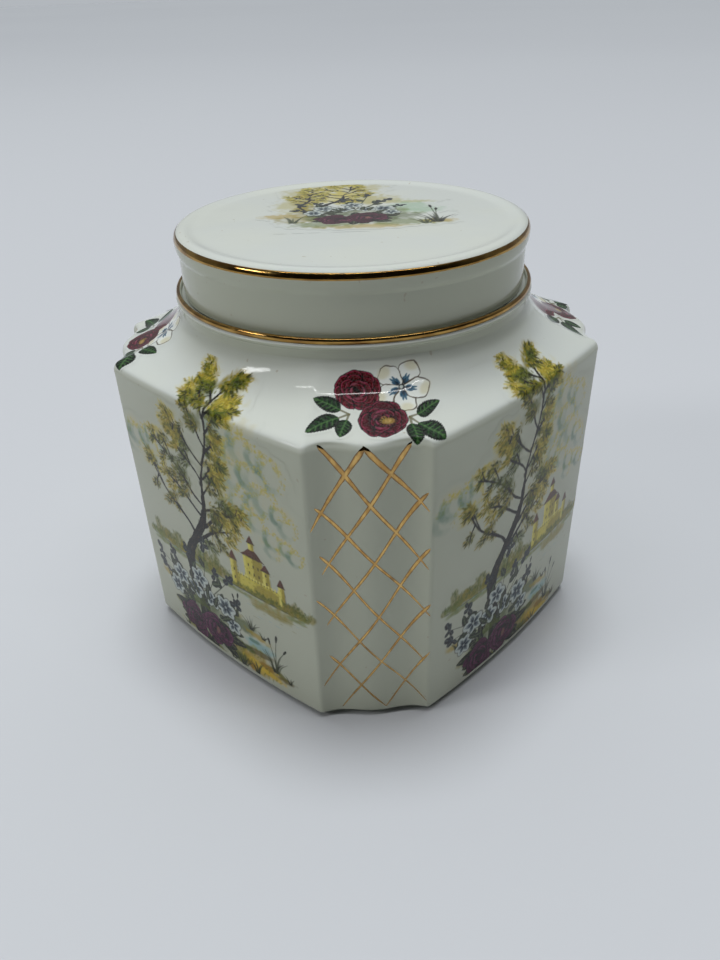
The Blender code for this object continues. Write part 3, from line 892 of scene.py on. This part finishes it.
def landscape():
    """The whole print of a face, from the sky down to the flowers in front."""
    paper = Paper(-38.6, 38.6, 2.0, 105.6, pitch=0.27, seed=4)
    for u, v, size, lobes in (
        (13, 85, 5.2, 5), (21, 80, 6.2, 6), (17, 73, 5.8, 6), (25.5, 67, 5.6, 5),
        (14.5, 64, 4.8, 5), (29, 57, 4.0, 4), (-29, 70, 5.6, 6), (-20.5, 74, 3.6, 4),
    ):
        cloud(paper, u, v, size, lobes)
    far_shore(paper)
    tree(paper, (-11.6, 14.0), (3.4, 98.5), 3.8, 28.0)
    bank(paper)
    posy(paper, -9.0, 11.4, 17.0, PLUM_SHADES)
    return paper


# --------------------------------------------------------------- the spray over a corner, and the lid's print
def white_flower(paper, u, v, size):
    """Five white petals, each drawn round in brown, with blue streaks at their roots."""
    for k in range(5):
        angle = 62 + 72 * k
        c, s = cos(radians(angle)), sin(radians(angle))
        turn = np.radians(np.arange(0, 361, 24))
        ripple = 1 + 0.07 * np.cos(5 * turn + k)
        x = size * (0.6 + 0.53 * np.cos(turn) * ripple)
        y = size * 0.43 * np.sin(turn) * ripple * (1 + 0.18 * np.cos(turn))
        outline = list(zip(u + x * c - y * s, v + x * s + y * c))
        paper.patch(outline[:-1], PETAL_WHITE, 0.97, 0.25)
        paper.line(outline, 0.3, DAISY_LINE, 0.85, rough=0.25)
        edge = (u + size * 0.95 * c, v + size * 0.95 * s)
        paper.wash(*edge, size * 0.2, size * 0.26, CLOUD_BEIGE, 0.5, angle, soft=0.9, rough=0.6)
        for lean in (-16, -6, 6, 16):
            way = radians(angle + lean)
            start = (u + size * 0.16 * cos(way), v + size * 0.16 * sin(way))
            paper.dab(*start, size * (0.56 - abs(lean) / 60), size * 0.11, angle + lean, DAISY_BLUE, 0.72)
        paper.dab(u, v, size * 0.4, size * 0.1, angle + 2, SLATE_DARK, 0.5)
    paper.wash(u, v, size * 0.12, size * 0.12, SLATE_DARK, 0.8, soft=0.5)
    paper.wash(u - 0.1, v + 0.05, size * 0.07, size * 0.07, CLOUD_WHITE, 0.9, soft=0.5)


def full_rose(paper, u, v, size, shades, turn, heart=None):
    """A rose with loose outer petals, and pale brush lines along the rims of the inner ones."""
    rng = paper.rng
    for k in range(8):
        angle = turn + 45 * k + rng.normal(0, 6)
        c, s = cos(radians(angle)), sin(radians(angle))
        petal(paper, u + 0.72 * size * c, v + 0.66 * size * s, size * 0.36, size * 0.5, angle, shades, 0.75)
    rose(paper, u, v, size * 0.86, shades, turn + 20, heart)
    for k in range(7):
        angle = radians(turn + 51 * k)
        r = size * (0.30, 0.52, 0.42)[k % 3]
        arc = [around(u, v, r, degrees(angle + t), 0.92) for t in (-0.5, -0.15, 0.2, 0.5)]
        paper.line(arc, (0.15, 0.42, 0.4, 0.12), CRIMSON_PALE, 0.6, rough=0.35)
    for k in range(11):
        x = u + size * (k / 5 - 1) * 0.75
        y = v - 0.72 * size * sqrt(max(0.1, 1 - (k / 5 - 1) ** 2 * 0.6))
        paper.dab(x, y, 1.7, 0.4, 268 + rng.normal(0, 12), (CRIMSON_DARK, CRIMSON_LIGHT)[k % 2], 0.45)


def spray():
    """Two roses and a white flower with leaves, for the shoulder over each corner."""
    paper = Paper(-16.0, 20.6, 88.2, 114.6, pitch=0.17, seed=9)
    for root, tips, bend in (
        ((-4.0, 100.6), ((-12.4, 105.4), (-14.6, 95.6), (-6.6, 93.2)), -0.12),
        ((10.4, 98.6), ((18.2, 101.8), (18.4, 90.6), (11.6, 89.6)), 0.22),
    ):
        for tip in tips:
            start = (root[0] + 0.24 * (tip[0] - root[0]), root[1] + 0.24 * (tip[1] - root[1]))
            paper.line((root, start, tip), (0.6, 0.5, 0.2), STEM, 0.85, rough=0.2)
            long = hypot(tip[0] - start[0], tip[1] - start[1])
            leaf(paper, start, tip, 0.30 * long + 2.2, LEAF_SHADES, bend, serrate=0.13, veins=6)
    white_flower(paper, 9.2, 107.4, 6.2)
    full_rose(paper, -1.6, 107.2, 5.4, CRIMSON_SHADES, 15)
    full_rose(paper, 4.0, 98.4, 5.6, WINE_SHADES, 50, heart=SPRAY_CREAM)
    paper.wash(5.2, 97.8, 2.0, 1.1, SPRAY_CREAM, 0.85, -8, soft=0.45, rough=0.3)
    for angle in range(0, 360, 24):
        c, s = cos(radians(angle)), sin(radians(angle))
        paper.dab(5.2 + 0.8 * c, 97.8 + 0.5 * s, 1.4, 0.35, angle, STAMEN, 0.6)
        paper.dab(5.2 + 1.5 * c, 97.8 + 0.9 * s, 0.9, 0.4, angle + 8, CRIMSON_DARK, 0.5)
    return paper


def lid_print():
    """A smaller posy under young trees, for the middle of the lid, turned to look upright from in front.
    """
    paper = Paper(-27.5, 31.0, -13.6, 46.0, pitch=0.2, seed=21)
    for u, v, ru, rv, colour in (
        (-12, 34, 8, 8, HAZE), (0, 38, 9, 6, HAZE), (-16, 17, 6, 8, HAZE), (2, 24, 7, 8, HAZE),
        (-14, 20, 3, 8, POPLAR), (-4, 26, 5, 7, STRAW), (8, 22, 6, 5, HAZE), (-19, 4.6, 7, 2.2, GROUND),
        (-12, 1, 8, 4, POPLAR), (15, 18, 9, 1.8, HAZE), (17, 13, 6.6, 5.2, POOL), (19, 8, 7, 3, POOL),
        (4, -8, 13, 2.2, GROUND), (-6, -5, 9, 3, HILL_GREEN), (16, -5, 9, 3.2, HILL_GREEN),
        (24, -4.6, 5, 2.0, GROUND), (-13, 9, 4, 8, POPLAR), (12, 2, 7, 4, OLIVE_GREEN),
    ):
        paper.wash(u, v, ru, rv, colour, 0.66, soft=0.9, rough=0.9)
    tree(paper, (-7.0, 6.0), (-1.0, 41.5), 1.5, 15.0, tiers=12, tones=("straw", "straw", "ochre"), thick=0.8)
    tree(paper, (-14.0, 8.0), (-13.0, 38.0), 1.0, 9.5, tiers=10, tones=("straw", "ochre", "straw"), thick=0.7)
    posy(paper, 1.0, 1.0, 13.5, DAMSON_SHADES)
    tuft(paper, 24.0, -6.0, 9, 9.5, 5.0, REED_DARK, 0.8)
    tuft(paper, 20.5, -7.0, 6, 6.5, 4.0, REED, 0.8)
    tuft(paper, -16.5, -3.0, 7, 8.5, 3.0, REED, 0.7)
    reeds(paper, 24.0, -5.0, (15.0, 12.0), 1.2)
    return paper


# ------------------------------------------------------------------------------------------------- meshes
def new_object(name, data):
    obj = bpy.data.objects.new(name, data)
    bpy.context.scene.collection.objects.link(obj)
    return obj


def add_mesh(name, points, faces, materials):
    """A smooth-shaded mesh from points in millimetres."""
    mesh = bpy.data.meshes.new(name)
    mesh.from_pydata((points * MM).tolist(), [], faces)
    mesh.polygons.foreach_set("use_smooth", [True] * len(mesh.polygons))
    for material in materials:
        mesh.materials.append(material)
    mesh.update()
    return new_object(name, mesh)


def add_film(name, points, faces, material, body):
    """A thin piece on the glaze, which rides on a body and takes a slot's finish."""
    obj = add_mesh(name, points, faces.tolist(), [material])
    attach(obj, body)
    return obj


def add_colours(obj, name, colours):
    """Colours for the points of a mesh, as red, green, blue and alpha."""
    layer = obj.data.color_attributes.new(name, "FLOAT_COLOR", "POINT")
    layer.data.foreach_set("color", colours.astype(np.float32).ravel())
    obj.data.color_attributes.active_color = layer


def loft_faces(count, size, closed=True):
    """Quads between rings of so many points, each ring to the next."""
    across = size if closed else size - 1
    i = np.arange(across)
    j = (i + 1) % size
    rows = size * np.arange(count - 1)[:, None]
    quads = np.stack(np.broadcast_arrays(rows + i, rows + j, rows + size + j, rows + size + i), -1)
    return quads.reshape(-1, 4)


def lofted(name, rings, materials):
    """A closed body from a stack of rings, each joined to the next, with its two ends filled."""
    size = len(rings[0])
    quads = loft_faces(len(rings), size).tolist()
    last = (len(rings) - 1) * size
    ends = [list(range(size))[::-1], list(range(last, last + size))]
    return add_mesh(name, np.vstack(rings), quads + ends, materials)


INK_DEPTH = 1.5  # above 1, the fired inks are deeper than the palette
LEAST_INK = 0.012  # a print's film is cut out where its ink covers less than this
FILM_MARGIN = 0.7  # mm of clear film that is kept round the ink


def print_film(name, paper, place, body, material, slide=(0.0, 0.0)):
    """The film of a print: the painted part of its grid, laid on a surface by place(u, v, lift)."""
    printed = paper.cover > LEAST_INK
    margin = max(1, round(FILM_MARGIN / paper.pitch))
    for axis in (0, 1):
        grown = printed.copy()
        for step in range(1, margin + 1):
            grown |= np.roll(printed, step, axis) | np.roll(printed, -step, axis)
        printed = grown
    cells = printed[:-1, :-1] & printed[1:, :-1] & printed[:-1, 1:] & printed[1:, 1:]
    wide = paper.cover.shape[1]
    j, i = np.nonzero(cells)
    first = j * wide + i
    quads = np.stack([first, first + 1, first + wide + 1, first + wide], 1)
    used, quads = np.unique(quads, return_inverse=True)
    u, v = np.meshgrid(paper.u + slide[0], paper.v + slide[1])
    points = place(u.ravel()[used], v.ravel()[used], FILM)
    obj = add_film(name, points, quads.reshape(-1, 4), material, body)
    ink = paper.ink.reshape(-1, 3)[used]
    ink = np.where(ink <= 0.04045, ink / 12.92, ((np.clip(ink, 0, 1) + 0.055) / 1.055) ** 2.4) ** INK_DEPTH
    add_colours(obj, "ink", np.column_stack([ink, np.clip(paper.cover.ravel()[used], 0, 1)]))


BAND_WOBBLE = 0.18
BAND_SEGMENTS = 256


def gilt_ring(name, profile, body, material, seed):
    """A brushed gold band: profile runs across it as (radius, height), and its two edges wander a little."""
    rng = np.random.default_rng(seed)
    path = catmull(profile, 6)
    run, normal = run_of(path), -sides_of(path)
    angles = circle(BAND_SEGMENTS)
    edges = []
    for _ in range(2):
        wave = sum(rng.normal(0, 1 / k) * np.cos(k * angles + rng.uniform(0, 6.3)) for k in range(2, 26))
        edges.append(BAND_WOBBLE * wave / 2)
    across = np.linspace(0, 1, 13)
    lift = GILT * np.clip(np.minimum(across, 1 - across) * 8, 0.2, 1)
    rings = []
    for share, up in zip(across, lift):
        s = share * run[-1] + edges[0] * (1 - share) + edges[1] * share
        s = np.clip(s, 0, run[-1])
        r, z = np.interp(s, run, path[:, 0]), np.interp(s, run, path[:, 1])
        nr, nz = np.interp(s, run, normal[:, 0]), np.interp(s, run, normal[:, 1])
        r, z = r + nr * up, z + nz * up
        rings.append(np.column_stack([r * np.cos(angles), r * np.sin(angles), z]))
    add_film(name, np.vstack(rings), loft_faces(len(rings), BAND_SEGMENTS), material, body)


TRELLIS_LEFT, TRELLIS_RIGHT = -13.4, 14.6  # how far across a corner panel the gilt strokes run, mm
TRELLIS_LOW, TRELLIS_HIGH = 2.6, 91.0
TRELLIS = (  # two families of slanting strokes: slope, height at the panel's middle, spacing, how many
    (-1.36, 106.2, 16.4, 7),
    (1.60, 92.3, 18.75, 6),
)


def trellis_strokes(rng):
    """Paths across the panel and up it, with widths: slanting strokes that thin out down the panel."""
    for slope, start, pitch, count in TRELLIS:
        for k in range(count):
            tilt = slope + rng.normal(0, 0.05)
            middle = start - pitch * k + rng.normal(0, 0.5)
            u = np.linspace(TRELLIS_LEFT + rng.normal(0, 0.9), TRELLIS_RIGHT + rng.normal(0, 0.6), 9)
            v = middle + tilt * u + 0.35 * np.sin(u / 5 + rng.uniform(0, 6.3))
            fine = np.linspace(u[0], u[-1], 90)
            v = np.interp(fine, u, v)
            inside = (v > TRELLIS_LOW) & (v < TRELLIS_HIGH)
            if inside.sum() < 12:
                continue
            path = np.column_stack([fine, v])[inside][:: -1 if slope > 0 else 1]
            thick = (0.58 + 0.88 * (path[:, 1] / TRELLIS_HIGH) ** 2) * rng.uniform(0.85, 1.15)
            share = np.linspace(0, 1, len(path))
            brush = np.interp(share, (0, 0.12, 0.45, 0.8, 1), (0.75, 1.15, 0.95, 0.9, 0.5))
            swell = 1 + 0.12 * np.interp(share, np.linspace(0, 1, 12), rng.normal(0, 1, 12))
            yield path, thick * brush * swell


def gilt_trellis(name, sheet, material, seed):
    """The crossed strokes of one corner panel, all in one piece, each a low ridge of gold."""
    rng = np.random.default_rng(seed)
    points, quads, edges, offset = [], [], [], 0
    across = np.linspace(-1, 1, 7)
    for path, width in trellis_strokes(rng):
        side, run = sides_of(path), run_of(path)
        ends = np.minimum(run + 0.1, run[-1] - run + 0.1)
        half = 0.5 * width * np.sqrt(np.clip(ends / 1.4, 0, 1))
        uv = path[:, None, :] + side[:, None, :] * (half[:, None] * across)[..., None]
        lift = 0.012 + GILT * (1 - across**2) * np.minimum(1, half / 0.3)[:, None]
        points.append(sheet.at(uv[..., 0].ravel(), uv[..., 1].ravel(), lift.ravel()))
        quads.append(offset + loft_faces(len(path), len(across), closed=False)[:, ::-1])
        # painted dark reflection: how near each point is to its stroke's edge, where the gold is darkened
        thin = np.clip(abs(across) ** 2.4 + 0.25 * rng.random((len(path), 1)), 0, 1)
        edges.append(np.broadcast_to(thin, uv.shape[:2]).ravel())
        offset += len(points[-1])
    obj = add_film(name, np.vstack(points), np.vstack(quads), material, "jar")
    shade = np.concatenate(edges)
    add_colours(obj, "thin", np.column_stack([shade] * 3 + [np.ones_like(shade)]))


# ---------------------------------------------------------------------------------------------- materials
class Nodes:
    """A short way to write the nodes of a material, or of the world."""

    def __init__(self, owner):
        owner.use_nodes = True
        self.tree = owner.node_tree

    def set(self, socket, value):
        """Link a socket to another node's output, or give it a value."""
        if isinstance(value, bpy.types.NodeSocket):
            self.tree.links.new(value, socket)
        else:
            socket.default_value = (*value, 1.0) if socket.type == "RGBA" else value

    def add(self, kind, inputs=(), **settings):
        node = self.tree.nodes.new("ShaderNode" + kind)
        for key, value in settings.items():
            setattr(node, key, value)
        for key, value in dict(inputs).items():
            self.set(node.inputs[key], value)
        return node.outputs

    def shade(self, inputs):
        for key, value in inputs.items():
            self.set(self.tree.nodes["Principled BSDF"].inputs[key], value)

    def noise(self, size_mm, detail, stretch=None):
        space = self.add("TexCoord")["Object"]
        if stretch is not None:
            space = self.add("Mapping", {"Vector": space, "Scale": stretch})["Vector"]
        return self.add("TexNoise", {"Vector": space, "Scale": 1 / (size_mm * MM), "Detail": detail})["Fac"]

    def span(self, source, low, high, to_low, to_high):
        limits = {"From Min": low, "From Max": high, "To Min": to_low, "To Max": to_high}
        return self.add("MapRange", {"Value": source, **limits}, interpolation_type="SMOOTHSTEP")["Result"]

    def mix(self, factor, first, second):
        return self.add("Mix", {0: factor, 6: first, 7: second}, data_type="RGBA")[2]

    def bump(self, height, depth_mm, **below):
        inputs = {"Height": height, "Strength": 1.0, "Distance": depth_mm * MM, **below}
        return self.add("Bump", inputs)["Normal"]


GLAZE_COLOUR = (0.668, 0.692, 0.636)
GLAZE_COOL = (0.652, 0.680, 0.645)
GLAZE_SHADED_WALL = (0.530, 0.550, 0.440)  # painted shade: the upright walls are darker and greener than the tops, standing in for the light that falls from overhead
GLAZE_SPECK = (0.42, 0.36, 0.26)


def glaze_nodes(name, printed=False):
    """White glaze: a faint drift of tint, pin-head specks, painted shade that darkens the upright walls, an
    orange-peel surface and soft casting waves.
    """
    material = bpy.data.materials.new(name)
    n = Nodes(material)
    base = n.mix(n.span(n.noise(26, 2), 0.35, 0.65, 0, 1), GLAZE_COLOUR, GLAZE_COOL)
    upward = n.add("SeparateXYZ", {0: n.add("TexCoord")["Normal"]})["Z"]
    # painted shade: surfaces that face little upward, such as the walls, take the darker shaded-wall colour
    base = n.mix(n.span(upward, 0.05, 0.75, 1.0, 0.0), base, GLAZE_SHADED_WALL)
    base = n.mix(n.span(n.noise(1.5, 0), 0.845, 0.875, 0, 0.5), base, GLAZE_SPECK)
    if printed:
        ink = n.add("VertexColor", layer_name="ink")
        grain = n.span(n.noise(0.45, 2), 0.3, 0.7, 0.95, 1.0)
        base = n.mix(n.add("Math", {0: ink["Alpha"], 1: grain}, operation="MULTIPLY")[0], base, ink["Color"])
    waves = n.bump(n.noise(17, 1), 0.16)
    n.shade({
        "Base Color": base,
        "Roughness": n.span(n.noise(9, 4), 0.3, 0.7, 0.03, 0.075),
        "Normal": n.bump(n.noise(2.3, 2), 0.012, Normal=waves),
        "IOR": 1.5,
        "Specular IOR Level": 0.23,
    })
    return material


GOLD_BRIGHT = (0.50, 0.31, 0.09)
GOLD_DEEP = (0.25, 0.13, 0.034)
GOLD_PALE = (0.70, 0.46, 0.165)
GOLD_DULL = (0.46, 0.27, 0.09)
# brown of worn gold, also used for the painted dark reflection at the strokes' edges
GOLD_WORN_AND_DARK_REFLECTION = (0.20, 0.12, 0.06)


def bisque_nodes():
    """The bare clay under the foot, rubbed grey where it stands."""
    material = bpy.data.materials.new("bare_clay")
    n = Nodes(material)
    rubbed = n.span(n.noise(3.5, 5), 0.4, 0.7, 0, 1)
    n.shade({
        "Base Color": n.mix(rubbed, (0.72, 0.66, 0.55), (0.50, 0.46, 0.40)),
        "Roughness": n.span(n.noise(1.2, 4), 0.3, 0.7, 0.7, 0.95),
        "Normal": n.bump(n.noise(0.5, 3), 0.03),
    })
    return material


def gold_nodes(name, stretch, bright, deep, stroked=False):
    """Bright gold, brushed on: streaks along the stroke and brown where it is worn; stroked gold also gets a
    painted dark reflection at the edges of its strokes, where the gold runs thin.
    """
    material = bpy.data.materials.new(name)
    n = Nodes(material)
    streak = n.noise(1.6, 4, stretch)
    colour = n.mix(n.span(streak, 0.3, 0.7, 0, 1), bright, deep)
    colour = n.mix(n.span(n.noise(4, 5), 0.55, 0.74, 0, 0.7), colour, GOLD_WORN_AND_DARK_REFLECTION)
    if stroked:
        # painted dark reflection: the edges of each stroke mix towards dark brown, where the gold also runs
        # thin
        thin = n.span(n.add("VertexColor", layer_name="thin")["Color"], 0.15, 0.85, 0, 1.0)
        colour = n.mix(thin, colour, GOLD_WORN_AND_DARK_REFLECTION)
    n.shade({
        "Base Color": colour,
        "Roughness": n.span(n.noise(2.2, 4), 0.3, 0.75, 0.07, 0.22),
        "Normal": n.bump(streak, 0.015),
        "Metallic": 1.0,
    })
    return material


def floor_nodes():
    """A plain, pale and matt tabletop, with a slow drift of tint."""
    material = bpy.data.materials.new("pale_tabletop")
    n = Nodes(material)
    drift = n.noise(1400, 1)
    n.shade({
        "Base Color": n.mix(n.span(drift, 0.3, 0.7, 0, 1), (0.592, 0.603, 0.634), (0.602, 0.614, 0.644)),
        "Roughness": n.span(drift, 0.3, 0.7, 0.22, 0.25),
        "Specular IOR Level": 0.0,
    })
    return material


# -------------------------------------------------------------------------------------------------- pieces
def make_jar(glaze, clay):
    obj = lofted("jar_body", jar_rings(), [glaze, clay])
    heights = np.array([p.center.z for p in obj.data.polygons]) / MM
    normals = np.array([p.normal.z for p in obj.data.polygons])
    bare = (heights < 0.12) & (normals < -0.6)
    obj.data.polygons.foreach_set("material_index", bare.astype(np.int32))
    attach(obj, "jar")
    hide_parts("jar")


def make_lid(glaze):
    obj = lofted("lid_body", lid_rings(), [glaze])
    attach(obj, "lid")
    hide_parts("lid")


FACES = (  # where each faces, in degrees from -Y, and how far its print slipped to the right and up, in mm
    ("front", 0, 0.0, 0.0), ("right", 90, 0.2, -1.7), ("back", 180, -0.3, -0.6), ("left", 270, 0.4, 0.4),
)
CORNERS = (
    ("front_right", 45, 0.0, 0.0), ("back_right", 135, 0.4, -0.4),
    ("back_left", 225, -0.3, 0.3), ("front_left", 315, 0.2, -0.2),
)


def make_decoration():
    glaze = glaze_nodes("printed_glaze", printed=True)
    gold = gold_nodes("brushed_gold", (1, 1, 0.25), GOLD_PALE, GOLD_DULL, stroked=True)
    band_gold = gold_nodes("band_gold", (0.25, 0.25, 1), GOLD_BRIGHT, GOLD_DEEP)
    rings = side_rings(90, 24, face_steps=100, arc_steps=12, panel_steps=60)
    scene_paper, spray_paper = landscape(), spray()
    for name, facing, *slide in FACES:
        print_film(f"print_{name}", scene_paper, Sheet(rings, facing, 42).at, "jar", glaze, slide)
    for k, (name, facing, *slide) in enumerate(CORNERS):
        sheet = Sheet(rings, facing, 24)
        print_film(f"spray_{name}", spray_paper, sheet.at, "jar", glaze, slide)
        gilt_trellis(f"trellis_{name}", sheet, gold, 30 + k)

    def on_lid(u, v, lift):
        return np.column_stack([*turned(u, v, -VIEW_AZIMUTH), np.full(len(u), LID_PLANE_Z + LID_TOP + lift)])

    print_film("print_lid", lid_print(), on_lid, "lid", glaze)
    gilt_ring("gilt_lip", LIP[LIP_GILT], "jar", band_gold, 51)
    low, high = (LID_PLANE_Z + z for z in LID_GILT)
    edge = [(r, LID_PLANE_Z + z) for r, z in catmull(LID[LID_EDGE], 12)]
    gilt_ring("gilt_lid_edge", [p for p in edge if low <= p[1] <= high], "lid", band_gold, 52)


# ---------------------------------------------------------------------------------------------- the setting
VIEW_AZIMUTH = 43.23
VIEW_ELEVATION = 31.76
VIEW_DISTANCE = 277.44
VIEW_ROLL = -1.93
AIM = (-0.06, 38.34)  # to the right of the axis and up it
LENS = 30.79


def toward(azimuth, elevation):
    """The direction of something round the jar, counted in degrees as the camera's is."""
    a, e = radians(azimuth), radians(elevation)
    return Vector((sin(a) * cos(e), -cos(a) * cos(e), sin(e)))


def add_camera():
    back, right, roll = toward(VIEW_AZIMUTH, VIEW_ELEVATION), toward(VIEW_AZIMUTH + 90, 0), radians(VIEW_ROLL)
    up = back.cross(right)
    place = (Vector((0, 0, AIM[1])) + right * AIM[0] + back * VIEW_DISTANCE) * MM
    tilted_right = right * cos(roll) + up * sin(roll)
    tilted_up = up * cos(roll) - right * sin(roll)
    data = bpy.data.cameras.new("camera")
    data.lens = LENS
    data.sensor_width = 36.0
    data.clip_start = 0.01
    obj = new_object("camera", data)
    turn = Matrix((tilted_right, tilted_up, back)).transposed().to_4x4()
    obj.matrix_world = Matrix.Translation(place) @ turn
    bpy.context.scene.camera = obj


def add_lamp(name, bearing, elevation, distance, wide, high, watts):
    """A rectangular light, placed round the jar by its bearing from the camera, and turned to face it."""
    way = toward(VIEW_AZIMUTH + bearing, elevation)
    data = bpy.data.lights.new(name, "AREA")
    data.shape = "RECTANGLE"
    data.size, data.size_y = wide, high
    data.energy = watts
    across = Vector((0, 0, 1)).cross(way).normalized()
    turn = Matrix((across, way.cross(across), way)).transposed().to_4x4()
    place = Vector((0, 0, LIP_Z * MM)) + way * distance
    new_object(name, data).matrix_world = Matrix.Translation(place) @ turn


SKY_TINT = (0.945, 0.985, 1.0)
SKY_TILT = 18  # degrees that the soft light overhead leans away from the camera
SKY_LIGHT = 0.48
BACK_LIGHT = 0.26
FRONT_LIGHT = 0.01
SUN_TILT = 9  # degrees; the stronger, narrower light overhead, which throws the shadow at the jar's foot
SUN_WIDTH = 22
SUN_LIGHT = 1.62
LAMPS = (  # to the right of the camera's heading, up, distance in metres, width, height, watts
    ("ceiling_strip", 3, 79, 2.4, 3.0, 0.06, 13.0),
    ("window_pane_left", -75.4, 29, 2.6, 0.36, 0.24, 5.0),
    ("window_pane_right", -66.6, 31, 2.6, 0.36, 0.24, 5.0),
)
BACKDROP = (0.445, 0.472, 0.502)  # the pale surround, as seen past the tabletop


def add_world():
    """A light tent: a broad soft light overhead, pale round the back and sides, and dark where it opens."""
    world = bpy.data.worlds.new("light_tent")
    n = Nodes(world)
    direction, away = n.add("TexCoord")["Generated"], VIEW_AZIMUTH + 180
    parts = []
    for axis, low, high, least, most in (
        (toward(away, 90 - SKY_TILT), 0.70, 0.95, 0.0, SKY_LIGHT),
        (toward(away, 0), -0.55, 0.75, FRONT_LIGHT, BACK_LIGHT),
    ):
        dot = n.add("VectorMath", {0: direction, 1: axis}, operation="DOT_PRODUCT")["Value"]
        parts.append(n.span(dot, low, high, least, most))
    light = n.tree.nodes["Background"]
    n.set(light.inputs["Color"], SKY_TINT)
    n.set(light.inputs["Strength"], n.add("Math", enumerate(parts))[0])
    seen = n.add("Background", {"Color": BACKDROP})[0]
    by_camera = n.add("LightPath")["Is Camera Ray"]
    surface = n.add("MixShader", {0: by_camera, 1: light.outputs[0], 2: seen})[0]
    n.set(n.tree.nodes["World Output"].inputs["Surface"], surface)
    bpy.context.scene.world = world


def add_sun():
    """The middle of the light overhead: it gives soft shadows, but no highlight of its own."""
    data = bpy.data.lights.new("overhead", "SUN")
    data.energy = SUN_LIGHT
    data.angle = radians(SUN_WIDTH)
    data.color = SKY_TINT
    obj = new_object("overhead", data)
    obj.rotation_euler = toward(VIEW_AZIMUTH + 180, 90 - SUN_TILT).to_track_quat("Z", "Y").to_euler()
    obj.visible_glossy = False


FLOOR_REACH = 9000.0
FLOOR_SIDES = 48
TABLETOP_Z = -0.05  # just below the foot, so that the two don't coincide


def add_floor():
    """A wide pale tabletop under the jar."""
    radii = (40.0, 120.0, 400.0, 1500.0, FLOOR_REACH)
    rings = [round_ring(circle(FLOOR_SIDES), r, TABLETOP_Z) for r in radii]
    faces = loft_faces(len(rings), FLOOR_SIDES).tolist() + [list(range(FLOOR_SIDES))]
    obj = add_mesh("tabletop", np.vstack(rings), faces, [floor_nodes()])
    obj.data.flip_normals()
    obj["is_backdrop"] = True


def main():
    glaze = glaze_nodes("white_glaze")
    make_jar(glaze, bisque_nodes())
    make_lid(glaze)
    make_decoration()
    add_floor()
    add_camera()
    add_world()
    add_sun()
    for lamp in LAMPS:
        add_lamp(*lamp)
    bpy.context.scene.view_settings.view_transform = "Standard"


main()
[[list(corner) for corner in box] for box in (cad_box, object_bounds())]
